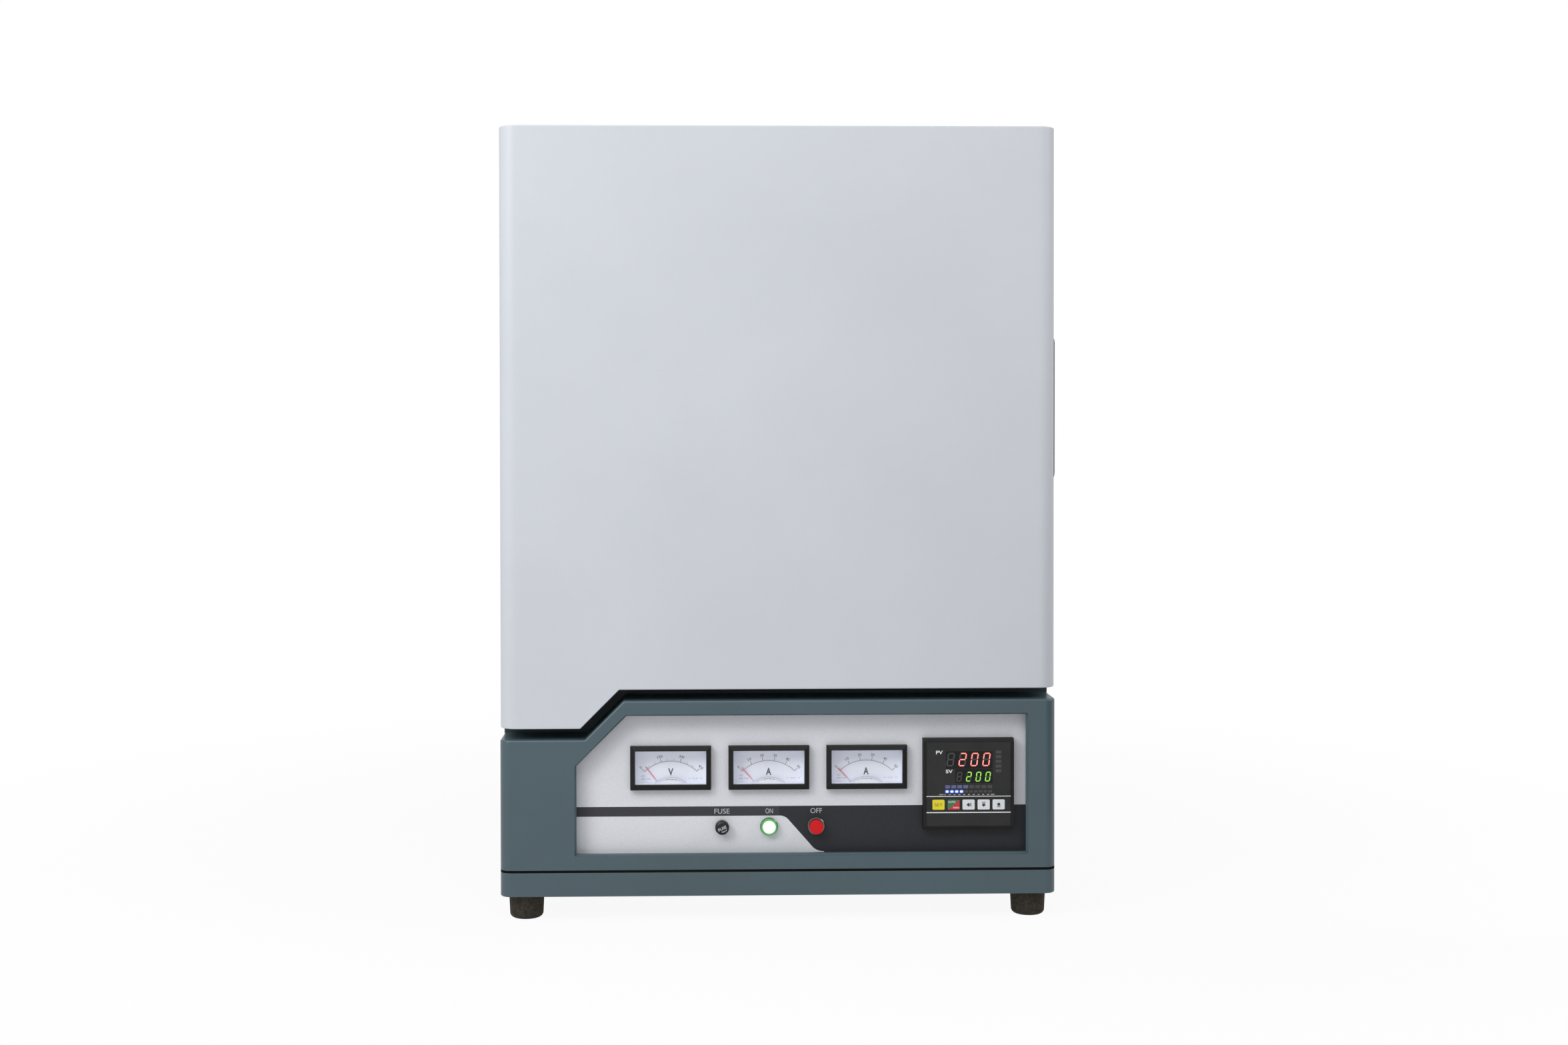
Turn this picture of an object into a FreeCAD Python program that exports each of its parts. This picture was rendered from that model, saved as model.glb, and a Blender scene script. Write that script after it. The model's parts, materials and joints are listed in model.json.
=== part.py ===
import FreeCAD, Part
import math
import os

# An electric muffle furnace that stands on four rubber feet. Millimetres, +Z up, front towards -Y.
# The origin is on the floor, under the middle of the whole furnace.

Vector = FreeCAD.Vector

# Overall sizes
width = 584.0
depth = 700.0
foot_height = 26.0
plinth_height = 25.7
seam = 1.8
low_ledge_height = 137.0
step_height = 40.7
step_from_side = 89.0
door_height = 589.3
door_gap = 11.5
door_thickness = 50.0
door_clearance = 6.0
body_below_door_top = 4.0
exhaust_reach = 22.0

# Sheet metal
sheet = 1.5
fascia_wall = 2.0
corner_radius = 12.0
door_edge_radius = 18.0
edge_radius = 2.5
step_radius = 2.0
flange_width = 14.0
frame_depth = 22.0

# Chamber and insulation
chamber_width = 300.0
chamber_height = 300.0
chamber_depth = 400.0
throat_depth = 44.0
throat_step = 6.0
side_space = 22.0
roof_space = 20.65
rear_space = 36.5
casing_sheet = 1.2
frame_opening_margin = 13.0
plug_clearance_root = 2.5
plug_clearance_tip = 7.0
plug_reach = 46.0
hearth_thickness = 12.0
hearth_margin = 8.0
row_count = 9
row_pitch = 30.0
groove_depth = 12.0
groove_height = 14.0
coil_radius = 5.5
lead_radius = 3.0
groove_end_margin = 18.0
tail_length = 26.0

# Window in the console and what it shows
recess = 16.0
window_margin_left = 78.2
window_margin_right = 29.6
window_margin_top = 14.6
window_margin_bottom = 14.5
window_chamfer = 53.5
window_radius = 2.0
panel_margin = 8.0
overlay_thickness = 0.5
panel_thickness = 1.5
cutout_clearance = 0.3

# Meters
meter_width = 85.0
meter_height = 46.0
meter_proud = 8.0
meter_side_border = 5.0
meter_top_border = 4.7
meter_bottom_border = 5.7
meter_bevel = 2.0
meter_neck_wall = 2.0
meter_wall = 2.0
housing_front = 1.0
meter_row_height = 105.0
meter_first_share = 0.2108
meter_pitch_share = 0.2171
meter_rear_depth = 38.0
pivot_below_centre = 34.3
pivot_floor = 16.0
pivot_pin_radius = 1.0
pivot_bore_clearance = 0.05
pointer_length = 43.5
pointer_width = 0.8
pointer_thickness = 0.5
pointer_hub_radius = 4.0
balance_radius = 3.2
balance_reach = 9.5
scale_half_angle = 43.5
rest_angles = (6.1, 3.2, 0.8)
cover_radius = 27.3
cover_drop = 3.6
cover_thickness = 1.0
dial_thickness = 0.8
dial_setback = 2.8
glass_thickness = 1.5
glass_setback = 0.8
small_gap = 0.15

# Controller
controller_size = 96.0
controller_proud = 9.0
controller_bevel = 3.0
controller_share = 0.13
controller_height = 87.2
controller_body = 90.0
controller_body_depth = 80.0
face_size = 89.0
face_thickness = 1.2
key_width = 12.9
key_height = 10.6
key_pitch = 15.9
key_row_drop = 21.8
key_proud = 0.8
key_travel = 0.8
key_depth = 6.0
key_gap = 0.2
key_corner = 1.2
key_rim = 0.4

# Buttons and fuse
button_height = 42.2
fuse_x = -59.4
on_x = -9.8
off_x = 40.0
bezel_radius = 9.3
bezel_proud = 2.8
bezel_floor = 0.2
barrel_radius = 7.95
barrel_length = 29.0
on_lens_radius = 8.6
on_lens_proud = 3.6
off_cap_radius = 7.3
off_cap_proud = 6.5
head_gap = 0.2
stem_radius = 4.0
stem_length = 18.0
nut_thickness = 3.0
nut_radius = 11.5
fuse_cap_radius = 7.3
fuse_cap_proud = 9.7
fuse_flange_radius = 7.0
fuse_flange = 1.2
fuse_barrel_radius = 6.0
fuse_barrel_length = 34.0
fuse_bore_radius = 3.2
fuse_stem_radius = 3.0
fuse_stem_length = 14.0

# Hinges
axis_from_side = 12.0
axis_from_back = 18.0
hinge_from_end = 95.0
knuckle_radius = 7.0
knuckle_length = 32.0
knuckle_gap = 0.3
pin_radius = 4.0
pin_clearance = 0.05
hinge_leaf = 4.0
notch_right = 20.0
notch_forward = 8.0
notch_end_gap = 3.0

# Handle
handle_length = 149.0
handle_width = 26.0
handle_rim = 2.0
handle_depth = 24.0
handle_wall = 2.0
handle_border = 8.0
handle_from_back = 3.0

# Feet
foot_top_radius = 18.4
foot_bottom_radius = 17.0
foot_edge_radius = 6.0
foot_inset = 26.0
foot_bore_radius = 4.3
foot_counterbore_radius = 7.5
foot_counterbore_depth = 12.0

# Rear of the furnace
exhaust_outer_radius = 17.0
exhaust_inner_radius = 13.0
exhaust_above_centre = 112.0
exhaust_collar_radius = 30.0
exhaust_collar = 2.0
hole_clearance = 0.3
thermocouple_radius = 4.0
thermocouple_reach = 40.0
thermocouple_x = 60.0
thermocouple_above_centre = 60.0
thermocouple_head_radius = 14.0
thermocouple_head_length = 22.0
fan_size = 120.0
fan_thickness = 38.0
fan_from_side = 112.0
fan_bore_radius = 56.0
fan_blade_radius = 54.0
fan_hub_radius = 23.0
fan_blades = 7
fan_shaft_radius = 2.5
gland_from_side = 67.0
gland_above_base = 32.0
gland_radius = 12.5
gland_bore_radius = 6.0
gland_inner_length = 14.0
gland_hexagon = 8.0
gland_dome = 12.5
louvre_length = 90.0
louvre_pitch = 16.0
louvre_height = 9.0
louvre_proud = 2.0

# Seal, door switch and magnets
seal_outset = 29.0
seal_width = 12.0
seal_corner = 14.0
switch_x = (120.0, 170.0)
switch_drop = 50.0
switch_height = 14.0
magnet_reach = 210.0
magnet_inset = 22.0
magnet_width = 18.0
magnet_length = 48.0

# Power parts on the floor of the tray
heat_sink_x = (-60.0, 60.0)
heat_sink_y = (20.0, 170.0)
heat_sink_base = 6.0
heat_sink_height = 52.0
fin_count = 9
fin_thickness = 3.0
relay_width = 60.0
relay_length = 90.0
relay_height = 34.0
contactor_x = (120.0, 176.0)
contactor_y = (40.0, 120.0)
contactor_height = 52.0
contactor_top_height = 84.0
contactor_shoulder = 8.0
terminal_from_side = 22.0
terminal_width = 80.0
terminal_from_back = 66.0
terminal_depth = 32.0
terminal_height = 34.0
terminal_ways = 5
terminal_pocket = 10.0

# Places worked out from the sizes
half = width / 2
front = -depth / 2
back = depth / 2 - exhaust_reach
plinth_bottom = foot_height
plinth_top = plinth_bottom + plinth_height
base_bottom = plinth_top + seam
low_ledge = base_bottom + low_ledge_height
high_ledge = low_ledge + step_height
door_low = low_ledge + door_gap
door_high = high_ledge + door_gap
door_top = door_high + door_height
door_back = front + door_thickness
frame_face = door_back + door_clearance
frame_back = frame_face + fascia_wall
body_top = door_top - body_below_door_top
chamber_z = (door_high + door_top) / 2
chamber_front = frame_face + throat_depth
chamber_back = chamber_front + chamber_depth
chamber_half = chamber_width / 2
chamber_half_height = chamber_height / 2
casing_half = half - side_space - casing_sheet
casing_half_height = body_top - roof_space - casing_sheet - chamber_z
casing_back = back - sheet - rear_space - casing_sheet
panel_front = front + recess
plate_front = panel_front + overlay_thickness
plate_back = plate_front + panel_thickness
step_foot_x = -half + step_from_side
window_left = -half + window_margin_left
window_bottom = base_bottom + window_margin_bottom
window_top = high_ledge - window_margin_top
window_right = half - window_margin_right
window_width = window_right - window_left
meter_first_x = window_left + meter_first_share * window_width
meter_pitch = meter_pitch_share * window_width
controller_x = window_right - controller_share * window_width
meter_z = base_bottom + meter_row_height
button_z = base_bottom + button_height
controller_z = base_bottom + controller_height
pivot_z = meter_z - pivot_below_centre
glass_bottom = meter_z - meter_height / 2 + meter_bottom_border
glass_top = meter_z + meter_height / 2 - meter_top_border
glass_half = meter_width / 2 - meter_side_border
meter_names = ["voltmeter", "ammeter_left", "ammeter_right"]
meter_places = [meter_first_x + meter_pitch * index for index in range(len(meter_names))]
key_names = ["key_set", "key_mode", "key_shift", "key_down", "key_up"]
key_z = controller_z - key_row_drop
key_places = [controller_x + key_pitch * (index - 2) for index in range(len(key_names))]
face_front = panel_front - controller_proud + 0.4
axis_x = -half + axis_from_side
axis_y = door_back - axis_from_back
hinge_heights = [door_low + hinge_from_end, door_top - hinge_from_end]
handle_z = chamber_z
handle_y = door_back - handle_from_back - handle_width / 2
exhaust_z = chamber_z + exhaust_above_centre
thermocouple_z = chamber_z + thermocouple_above_centre
base_inner_back = back - sheet
fan_z = (base_bottom + low_ledge) / 2
gland_x = half - gland_from_side
fan_x = -half + fan_from_side
terminal_x = (half - terminal_from_side - terminal_width, half - terminal_from_side)
terminal_y = (back - terminal_from_back - terminal_depth, back - terminal_from_back)


def span_box(x, y, z):
    """A box given as its low and high value along each axis."""
    low = Vector(x[0], y[0], z[0])
    return Part.makeBox(x[1] - x[0], y[1] - y[0], z[1] - z[0], low)


def rod(start, axis, radius, length):
    """A round bar from a start point along an axis."""
    return Part.makeCylinder(radius, length, Vector(*start), Vector(*axis))


def place(plane, u, v, level):
    """A point of a flat drawing, set in the plane named by its two axes."""
    if plane == "xz":
        return Vector(u, level, v)
    if plane == "yz":
        return Vector(level, u, v)
    return Vector(u, v, level)


def outline_wire(points, plane, level, radii):
    """A closed outline whose corners are rounded by tangent arcs."""
    count = len(points)
    starts, ends, middles = [], [], []
    for index, corner in enumerate(points):
        here = Vector(corner[0], corner[1], 0)
        to_last = (Vector(*points[index - 1], 0) - here).normalize()
        to_next = (Vector(*points[(index + 1) % count], 0) - here).normalize()
        half_angle = to_last.getAngle(to_next) / 2
        reach = radii[index] / math.tan(half_angle)
        inward = (to_last + to_next).normalize()
        centre = here + inward * (radii[index] / math.sin(half_angle))
        starts.append(here + to_last * reach)
        ends.append(here + to_next * reach)
        middles.append(centre - inward * radii[index])
    edges = []
    for index in range(count):
        a, m, b = (place(plane, p.x, p.y, level) for p in (starts[index], middles[index], ends[index]))
        if radii[index] > 0:
            edges.append(Part.Arc(a, m, b).toShape())
        following = starts[(index + 1) % count]
        edges.append(Part.makeLine(b, place(plane, following.x, following.y, level)))
    return Part.Wire(edges)


def prism(points, plane, low, high, radii=0.0):
    """An outline extruded square to its plane, from one level to another."""
    if not isinstance(radii, list):
        radii = [radii] * len(points)
    face = Part.Face(outline_wire(points, plane, low, radii))
    return face.extrude(place(plane, 0, 0, high - low))


def rectangle(u_low, u_high, v_low, v_high):
    """The four corners of a rectangle, counter-clockwise."""
    return [(u_low, v_low), (u_high, v_low), (u_high, v_high), (u_low, v_high)]


def inset(points, distance):
    """A counter-clockwise outline moved inwards by a distance, or outwards by a negative one."""
    moved = []
    count = len(points)
    for index, corner in enumerate(points):
        last, following = points[index - 1], points[(index + 1) % count]
        before = Vector(corner[0] - last[0], corner[1] - last[1], 0).normalize()
        after = Vector(following[0] - corner[0], following[1] - corner[1], 0).normalize()
        normal_before = Vector(-before.y, before.x, 0)
        normal_after = Vector(-after.y, after.x, 0)
        bisector = (normal_before + normal_after).normalize()
        reach = distance / bisector.dot(normal_before)
        moved.append((corner[0] + bisector.x * reach, corner[1] + bisector.y * reach))
    return moved


def turned(profile, centre, axis):
    """A solid of revolution from (radius, height) points, with height measured along the axis."""
    points = [Vector(radius, 0, height) for radius, height in profile]
    face = Part.Face(Part.makePolygon(points + [points[0]]))
    solid = face.revolve(Vector(0, 0, 0), Vector(0, 0, 1), 360)
    turn = FreeCAD.Rotation(Vector(0, 0, 1), Vector(*axis))
    solid.Placement = FreeCAD.Placement(Vector(*centre), turn)
    return solid


def hexagon_nut(centre, axis, across_corners, thickness, bore):
    """A hexagonal nut whose near face is at the centre point."""
    turns = [math.radians(60 * k) for k in range(6)]
    corners = [Vector(across_corners * math.cos(t), across_corners * math.sin(t), 0) for t in turns]
    face = Part.Face(Part.makePolygon(corners + [corners[0]]))
    nut = face.extrude(Vector(0, 0, thickness))
    nut = nut.cut(Part.makeCylinder(bore, thickness))
    nut.Placement = FreeCAD.Placement(Vector(*centre), FreeCAD.Rotation(Vector(0, 0, 1), Vector(*axis)))
    return nut


def rim_edges(solid, rear_level, floor_level):
    """The edges where upright walls meet top, bottom or step faces, ahead of a rear level."""
    chosen = []
    for edge in solid.Edges:
        middle = edge.valueAt((edge.FirstParameter + edge.LastParameter) / 2)
        ends = edge.Vertexes
        rise = abs(ends[0].Z - ends[-1].Z) / edge.Length
        upright = rise > 0.99
        on_front = abs(middle.y - front) < 1e-6
        on_side = abs(abs(middle.x) - half) < 1e-6
        level_arc = isinstance(edge.Curve, Part.Circle) and abs(edge.Curve.Axis.z) > 0.99
        if upright or middle.y > rear_level - 1e-6 or middle.z < floor_level:
            continue
        if on_front or on_side or level_arc:
            chosen.append(edge)
    return chosen


# Outlines that several pieces share, seen from the front
console_outline = [
    (-half, base_bottom),
    (half, base_bottom),
    (half, high_ledge),
    (step_foot_x + step_height, high_ledge),
    (step_foot_x, low_ledge),
    (-half, low_ledge),
]
door_step_x = step_foot_x - door_gap * math.tan(math.radians(22.5))
door_outline = [
    (-half, door_low),
    (door_step_x, door_low),
    (door_step_x + step_height, door_high),
    (half, door_high),
    (half, door_top),
    (-half, door_top),
]
window_outline = [
    (window_left, window_bottom),
    (window_right, window_bottom),
    (window_right, window_top),
    (window_left + window_chamfer, window_top),
    (window_left, window_top - window_chamfer),
]
step_radii = [0.0, 0.0, 0.0, step_radius, step_radius, 0.0]
door_radii = [0.0, step_radius, step_radius, 0.0, 0.0, 0.0]
foot_places = [
    (side * (half - foot_inset), y) for side in (-1, 1) for y in (front + foot_inset, back - foot_inset)
]


def rubber_feet():
    """Four tapered rubber feet with a rounded tread and a recess for their screw."""
    feet = []
    for x, y in foot_places:
        profile = [(0, 0), (foot_bottom_radius, 0), (foot_top_radius, foot_height), (0, foot_height)]
        foot = turned(profile, (x, y, 0), (0, 0, 1))
        tread = [e for e in foot.Edges if isinstance(e.Curve, Part.Circle) and e.BoundBox.ZMax < 0.01]
        foot = foot.makeFillet(foot_edge_radius, tread)
        foot = foot.cut(rod((x, y, 0), (0, 0, 1), foot_bore_radius, foot_height))
        foot = foot.cut(rod((x, y, 0), (0, 0, 1), foot_counterbore_radius, foot_counterbore_depth))
        feet.append(foot)
    return Part.makeCompound(feet)


def plinth_tray():
    """The folded base tray, with the raised rim that leaves the dark seam under the console."""
    plan = rectangle(-half, half, front, back)
    outer = prism(plan, "xy", plinth_bottom, plinth_top, corner_radius)
    top_edges = [e for e in outer.Edges if e.BoundBox.ZMin > plinth_top - 0.01]
    outer = outer.makeFillet(edge_radius / 2, top_edges)
    bottom_edges = [e for e in outer.Edges if e.BoundBox.ZMax < plinth_bottom + 0.01]
    outer = outer.makeFillet(edge_radius / 2, bottom_edges)
    tray = outer.cut(
        prism(inset(plan, sheet), "xy", plinth_bottom + sheet, plinth_top - sheet, corner_radius - sheet)
    )
    opening = prism(inset(plan, flange_width), "xy", plinth_top - 2 * sheet, base_bottom + sheet)
    rim = prism(inset(plan, 2 * sheet), "xy", plinth_top - sheet / 2, base_bottom, corner_radius - 2 * sheet)
    tray = tray.fuse(rim).cut(opening)
    for x, y in foot_places:
        tray = tray.cut(rod((x, y, plinth_bottom - sheet), (0, 0, 1), foot_bore_radius, 3 * sheet))
    return tray.removeSplitter()


def louvre_bank(panel, side, y_low, z_low, rows):
    """Stamped louvres in an upright side panel: a slot under each raised flap."""
    face = side * half
    for row in range(rows):
        z = z_low + row * louvre_pitch
        slot_high = z + louvre_height - 2 * sheet
        ends = sorted((face, face - side * sheet))
        panel = panel.cut(span_box(ends, (y_low, y_low + louvre_length), (z, slot_high)))
        profile = [
            (face, z + louvre_height),
            (face + side * louvre_proud, z),
            (face + side * (louvre_proud - sheet / 2), z),
            (face - side * sheet / 2, z + louvre_height),
        ]
        if side < 0:
            profile.reverse()
        panel = panel.fuse(prism(profile, "xz", y_low, y_low + louvre_length))
    return panel


def base_shell():
    """The folded cover of the control bay behind the console: two sides and the deck."""
    y_span = (frame_face, base_inner_back)
    shell = span_box((-half, half), y_span, (base_bottom, low_ledge))
    inside = ((-half + sheet, half - sheet), (y_span[0] - 1, y_span[1] + 1))
    shell = shell.cut(span_box(*inside, (base_bottom + sheet, low_ledge - sheet)))
    floor_opening = (-half + flange_width, half - flange_width)
    shell = shell.cut(span_box(floor_opening, inside[1], (base_bottom - 1, base_bottom + sheet + 1)))
    deck_opening = ((-chamber_half, chamber_half), (chamber_front, chamber_back))
    shell = shell.cut(span_box(*deck_opening, (low_ledge - 2 * sheet, low_ledge + 1)))
    for side in (-1, 1):
        shell = louvre_bank(shell, side, chamber_front + louvre_length, base_bottom + 2 * flange_width, 5)
    return shell


def base_rear_panel():
    """The rear cover of the control bay, with the fan grille and the cable gland hole."""
    y_span = (base_inner_back, back)
    panel = span_box((-half, half), y_span, (base_bottom, low_ledge))
    slot, pitch = 4.0, 8.0
    grille_radius = fan_bore_radius - slot
    count = int(grille_radius // pitch)
    for step in range(-count, count + 1):
        reach = math.sqrt(grille_radius**2 - (step * pitch) ** 2) - slot / 2
        x_span = (fan_x + step * pitch - slot / 2, fan_x + step * pitch + slot / 2)
        panel = panel.cut(span_box(x_span, (y_span[0] - 1, y_span[1] + 1), (fan_z - reach, fan_z + reach)))
    gland = (gland_x, y_span[0] - 1, base_bottom + gland_above_base)
    return panel.cut(rod(gland, (0, 1, 0), gland_radius + hole_clearance, sheet + 2))


def console_fascia():
    """The front housing of the console: stepped top, rounded upright corners, window and its frame."""
    plan = rectangle(-half, half, front, frame_face)
    plan_radii = [corner_radius, corner_radius, 0.0, 0.0]
    outer = prism(console_outline, "xz", front, frame_face, step_radii)
    outer = outer.common(prism(plan, "xy", base_bottom, high_ledge, plan_radii))
    outer = outer.makeFillet(edge_radius, rim_edges(outer, frame_face, base_bottom + 1))
    inner_plan = rectangle(-half + fascia_wall, half - fascia_wall, front + fascia_wall, frame_face + 1)
    inner_radii = [corner_radius - fascia_wall, corner_radius - fascia_wall, 0.0, 0.0]
    inner = prism(inset(console_outline, fascia_wall), "xz", front + fascia_wall, frame_face + 1, step_radii)
    inner = inner.common(prism(inner_plan, "xy", base_bottom, high_ledge, inner_radii))
    fascia = outer.cut(inner)
    floor_opening = (-half + flange_width, half - flange_width)
    floor_depth = (front + flange_width, frame_face + 1)
    floor_cut = (base_bottom - 1, base_bottom + fascia_wall + 1)
    fascia = fascia.cut(span_box(floor_opening, floor_depth, floor_cut))
    frame_outline = inset(window_outline, -sheet)
    frame = prism(frame_outline, "xz", front + fascia_wall / 2, panel_front, window_radius + sheet)
    fascia = fascia.fuse(frame)
    fascia = fascia.cut(prism(window_outline, "xz", front - 1, panel_front + 1, window_radius))
    return fascia.removeSplitter()


def panel_cutouts(y_low, y_high):
    """Everything that passes through the control panel, as one cutting shape."""
    neck_half = glass_half + meter_neck_wall + cutout_clearance
    cuts = []
    for x in meter_places:
        z_span = (
            glass_bottom - meter_neck_wall - cutout_clearance,
            glass_top + meter_neck_wall + cutout_clearance,
        )
        cuts.append(span_box((x - neck_half, x + neck_half), (y_low, y_high), z_span))
    reach = controller_body / 2 + cutout_clearance
    cuts.append(
        span_box(
            (controller_x - reach, controller_x + reach),
            (y_low, y_high),
            (controller_z - reach, controller_z + reach),
        )
    )
    for x in (on_x, off_x):
        cuts.append(rod((x, y_low, button_z), (0, 1, 0), barrel_radius + cutout_clearance, y_high - y_low))
    fuse_hole = fuse_barrel_radius + cutout_clearance
    cuts.append(rod((fuse_x, y_low, button_z), (0, 1, 0), fuse_hole, y_high - y_low))
    return Part.makeCompound(cuts)


def control_panel():
    """The steel plate behind the window that carries the meters, controller, buttons and fuse."""
    plate = prism(inset(window_outline, -panel_margin), "xz", plate_front, plate_back, window_radius)
    return plate.cut(panel_cutouts(plate_front - 1, plate_back + 1))


def panel_overlay():
    """The printed film on the control panel."""
    film = prism(inset(window_outline, -panel_margin), "xz", panel_front, plate_front, window_radius)
    return film.cut(panel_cutouts(panel_front - 1, plate_front + 1))


def body_side_panel(side):
    """An upright side panel of the furnace body with a bank of louvres at the top rear."""
    x_span = sorted((side * half, side * (half - sheet)))
    panel = span_box(x_span, (frame_face + frame_depth, base_inner_back), (low_ledge, body_top))
    y_low = base_inner_back - 2 * louvre_length
    return louvre_bank(panel, side, y_low, chamber_z + chamber_half_height, 7)


def top_panel():
    """The top cover between the side panels."""
    x_span = (-half + sheet, half - sheet)
    return span_box(x_span, (frame_face + frame_depth, base_inner_back), (body_top - sheet, body_top))


def rear_panel():
    """The rear cover of the body, with vent slots and the hole for the exhaust tube."""
    y_span = (base_inner_back, back)
    panel = span_box((-half, half), y_span, (low_ledge, body_top))
    through = (y_span[0] - 1, y_span[1] + 1)
    slot_height, slot_length, pitch, rows = 4.0, 110.0, 14.0, 8
    for side in (-1, 1):
        middle = side * (half + exhaust_collar_radius) / 2
        x_span = (middle - slot_length / 2, middle + slot_length / 2)
        for z_start in (low_ledge + 2 * flange_width, body_top - rows * pitch - 2 * flange_width):
            for row in range(rows):
                z = z_start + row * pitch
                panel = panel.cut(span_box(x_span, through, (z, z + slot_height)))
    hole = rod((0, through[0], exhaust_z), (0, 1, 0), exhaust_outer_radius + hole_clearance, sheet + 2)
    return panel.cut(hole)


def front_frame():
    """The flanged steel plate round the furnace mouth, behind the door."""
    frame = span_box((-half, half), (frame_face, frame_face + frame_depth), (low_ledge, body_top))
    inside_x = (-half + fascia_wall, half - fascia_wall)
    inside_z = (low_ledge + fascia_wall, body_top - fascia_wall)
    frame = frame.cut(span_box(inside_x, (frame_back, frame_face + frame_depth + 1), inside_z))
    reach_x = chamber_half + frame_opening_margin
    reach_z = chamber_half_height + frame_opening_margin
    mouth = rectangle(-reach_x, reach_x, chamber_z - reach_z, chamber_z + reach_z)
    return frame.cut(prism(mouth, "xz", frame_face - 1, frame_back + 1, step_radius * 3))


def rear_service_holes(y_low, y_high):
    """The exhaust and thermocouple passages through the rear insulation and casing."""
    length = y_high - y_low
    exhaust = rod((0, y_low, exhaust_z), (0, 1, 0), exhaust_outer_radius + hole_clearance, length)
    sheath = (thermocouple_x, y_low, thermocouple_z)
    probe = rod(sheath, (0, 1, 0), thermocouple_radius + hole_clearance, length)
    return Part.makeCompound([exhaust, probe])


def row_heights():
    """The height of each heating coil row, evenly about the middle of the chamber."""
    return [chamber_z + row_pitch * (row - (row_count - 1) / 2) for row in range(row_count)]


groove_front = chamber_front + groove_end_margin
groove_back = chamber_back - groove_end_margin
coil_x = chamber_half + groove_depth - coil_radius - hole_clearance
tail_rows = (0, row_count - 1)


def tail_holes(side, y_low, y_high, radius):
    """The passages for the two coil tails of one side."""
    heights = row_heights()
    start = [(side * coil_x, y_low, heights[row]) for row in tail_rows]
    return Part.makeCompound([rod(point, (0, 1, 0), radius, y_high - y_low) for point in start])


def inner_casing():
    """The welded steel box that holds the insulation, on two rails, with holes for what passes through."""
    reach_x = casing_half + casing_sheet
    reach_z = casing_half_height + casing_sheet
    low, high = chamber_z - reach_z, chamber_z + reach_z
    casing = span_box((-reach_x, reach_x), (frame_back, casing_back + casing_sheet), (low, high))
    inside_z = (chamber_z - casing_half_height, chamber_z + casing_half_height)
    casing = casing.cut(span_box((-casing_half, casing_half), (frame_back - 1, casing_back), inside_z))
    casing = casing.cut(rear_service_holes(casing_back - 1, casing_back + casing_sheet + 1))
    for side in (-1, 1):
        holes_end = casing_back + casing_sheet + 1
        casing = casing.cut(tail_holes(side, casing_back - 1, holes_end, lead_radius + 2 * hole_clearance))
        rail_x = sorted((side * (chamber_half + 2 * flange_width), side * (chamber_half + 4 * flange_width)))
        rail_front = frame_face + frame_depth
        rail = span_box(rail_x, (rail_front, casing_back), (low_ledge, low))
        hollow_x = (rail_x[0] + sheet, rail_x[1] - sheet)
        hollow_y = (rail_front - 1, casing_back + 1)
        rail = rail.cut(span_box(hollow_x, hollow_y, (low_ledge + sheet, low - sheet)))
        casing = casing.fuse(rail)
    return casing.removeSplitter()


def throat():
    """The slightly wider entrance of the chamber that the door plug fills."""
    reach_x = chamber_half + throat_step
    reach_z = chamber_half_height + throat_step
    return span_box(
        (-reach_x, reach_x), (frame_back - 1, chamber_front), (chamber_z - reach_z, chamber_z + reach_z)
    )


def insulation_slab(side):
    """The ceramic fibre floor (side -1) or roof (side 1) of the chamber."""
    z_span = sorted((chamber_z + side * chamber_half_height, chamber_z + side * casing_half_height))
    slab = span_box((-casing_half, casing_half), (frame_back, casing_back), z_span)
    return slab.cut(throat())


def insulation_wall(side):
    """A ceramic fibre side wall with the grooves that hold its heating coils."""
    x_span = sorted((side * chamber_half, side * casing_half))
    z_span = (chamber_z - chamber_half_height, chamber_z + chamber_half_height)
    wall = span_box(x_span, (frame_back, casing_back), z_span).cut(throat())
    groove_x = sorted((side * chamber_half, side * (chamber_half + groove_depth)))
    heights = row_heights()
    for row, z in enumerate(heights):
        z_groove = (z - groove_height / 2, z + groove_height / 2)
        wall = wall.cut(span_box(groove_x, (groove_front, groove_back), z_groove))
        if row + 1 < row_count:
            y_end = link_place(row)
            link = (y_end - groove_height / 2, y_end + groove_height / 2)
            wall = wall.cut(span_box(groove_x, link, (z, heights[row + 1])))
    return wall.cut(tail_holes(side, groove_back - 1, casing_back + 1, lead_radius + 2 * hole_clearance))


def insulation_rear():
    """The ceramic fibre rear wall between the two side walls."""
    z_span = (chamber_z - chamber_half_height, chamber_z + chamber_half_height)
    wall = span_box((-chamber_half, chamber_half), (chamber_back, casing_back), z_span)
    return wall.cut(rear_service_holes(chamber_back - 1, casing_back + 1))


def link_place(row):
    """The y of the lead that joins a coil row to the one above, at alternating ends."""
    inside = groove_height / 2
    return groove_front + inside if row % 2 == 0 else groove_back - inside


def heating_element(side):
    """Coil rows in their grooves, joined end to end by leads, with two tails to the rear."""
    heights = row_heights()
    ends = (groove_front + hole_clearance, groove_back - hole_clearance)
    element = None
    for row, z in enumerate(heights):
        coil = rod((side * coil_x, ends[0], z), (0, 1, 0), coil_radius, ends[1] - ends[0])
        element = coil if element is None else element.fuse(coil)
        if row + 1 < row_count:
            start = (side * coil_x, link_place(row), z)
            element = element.fuse(rod(start, (0, 0, 1), lead_radius, row_pitch))
    for row in tail_rows:
        start = (side * coil_x, groove_back - coil_radius, heights[row])
        reach = casing_back + tail_length - start[1]
        element = element.fuse(rod(start, (0, 1, 0), lead_radius, reach))
    return element


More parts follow.
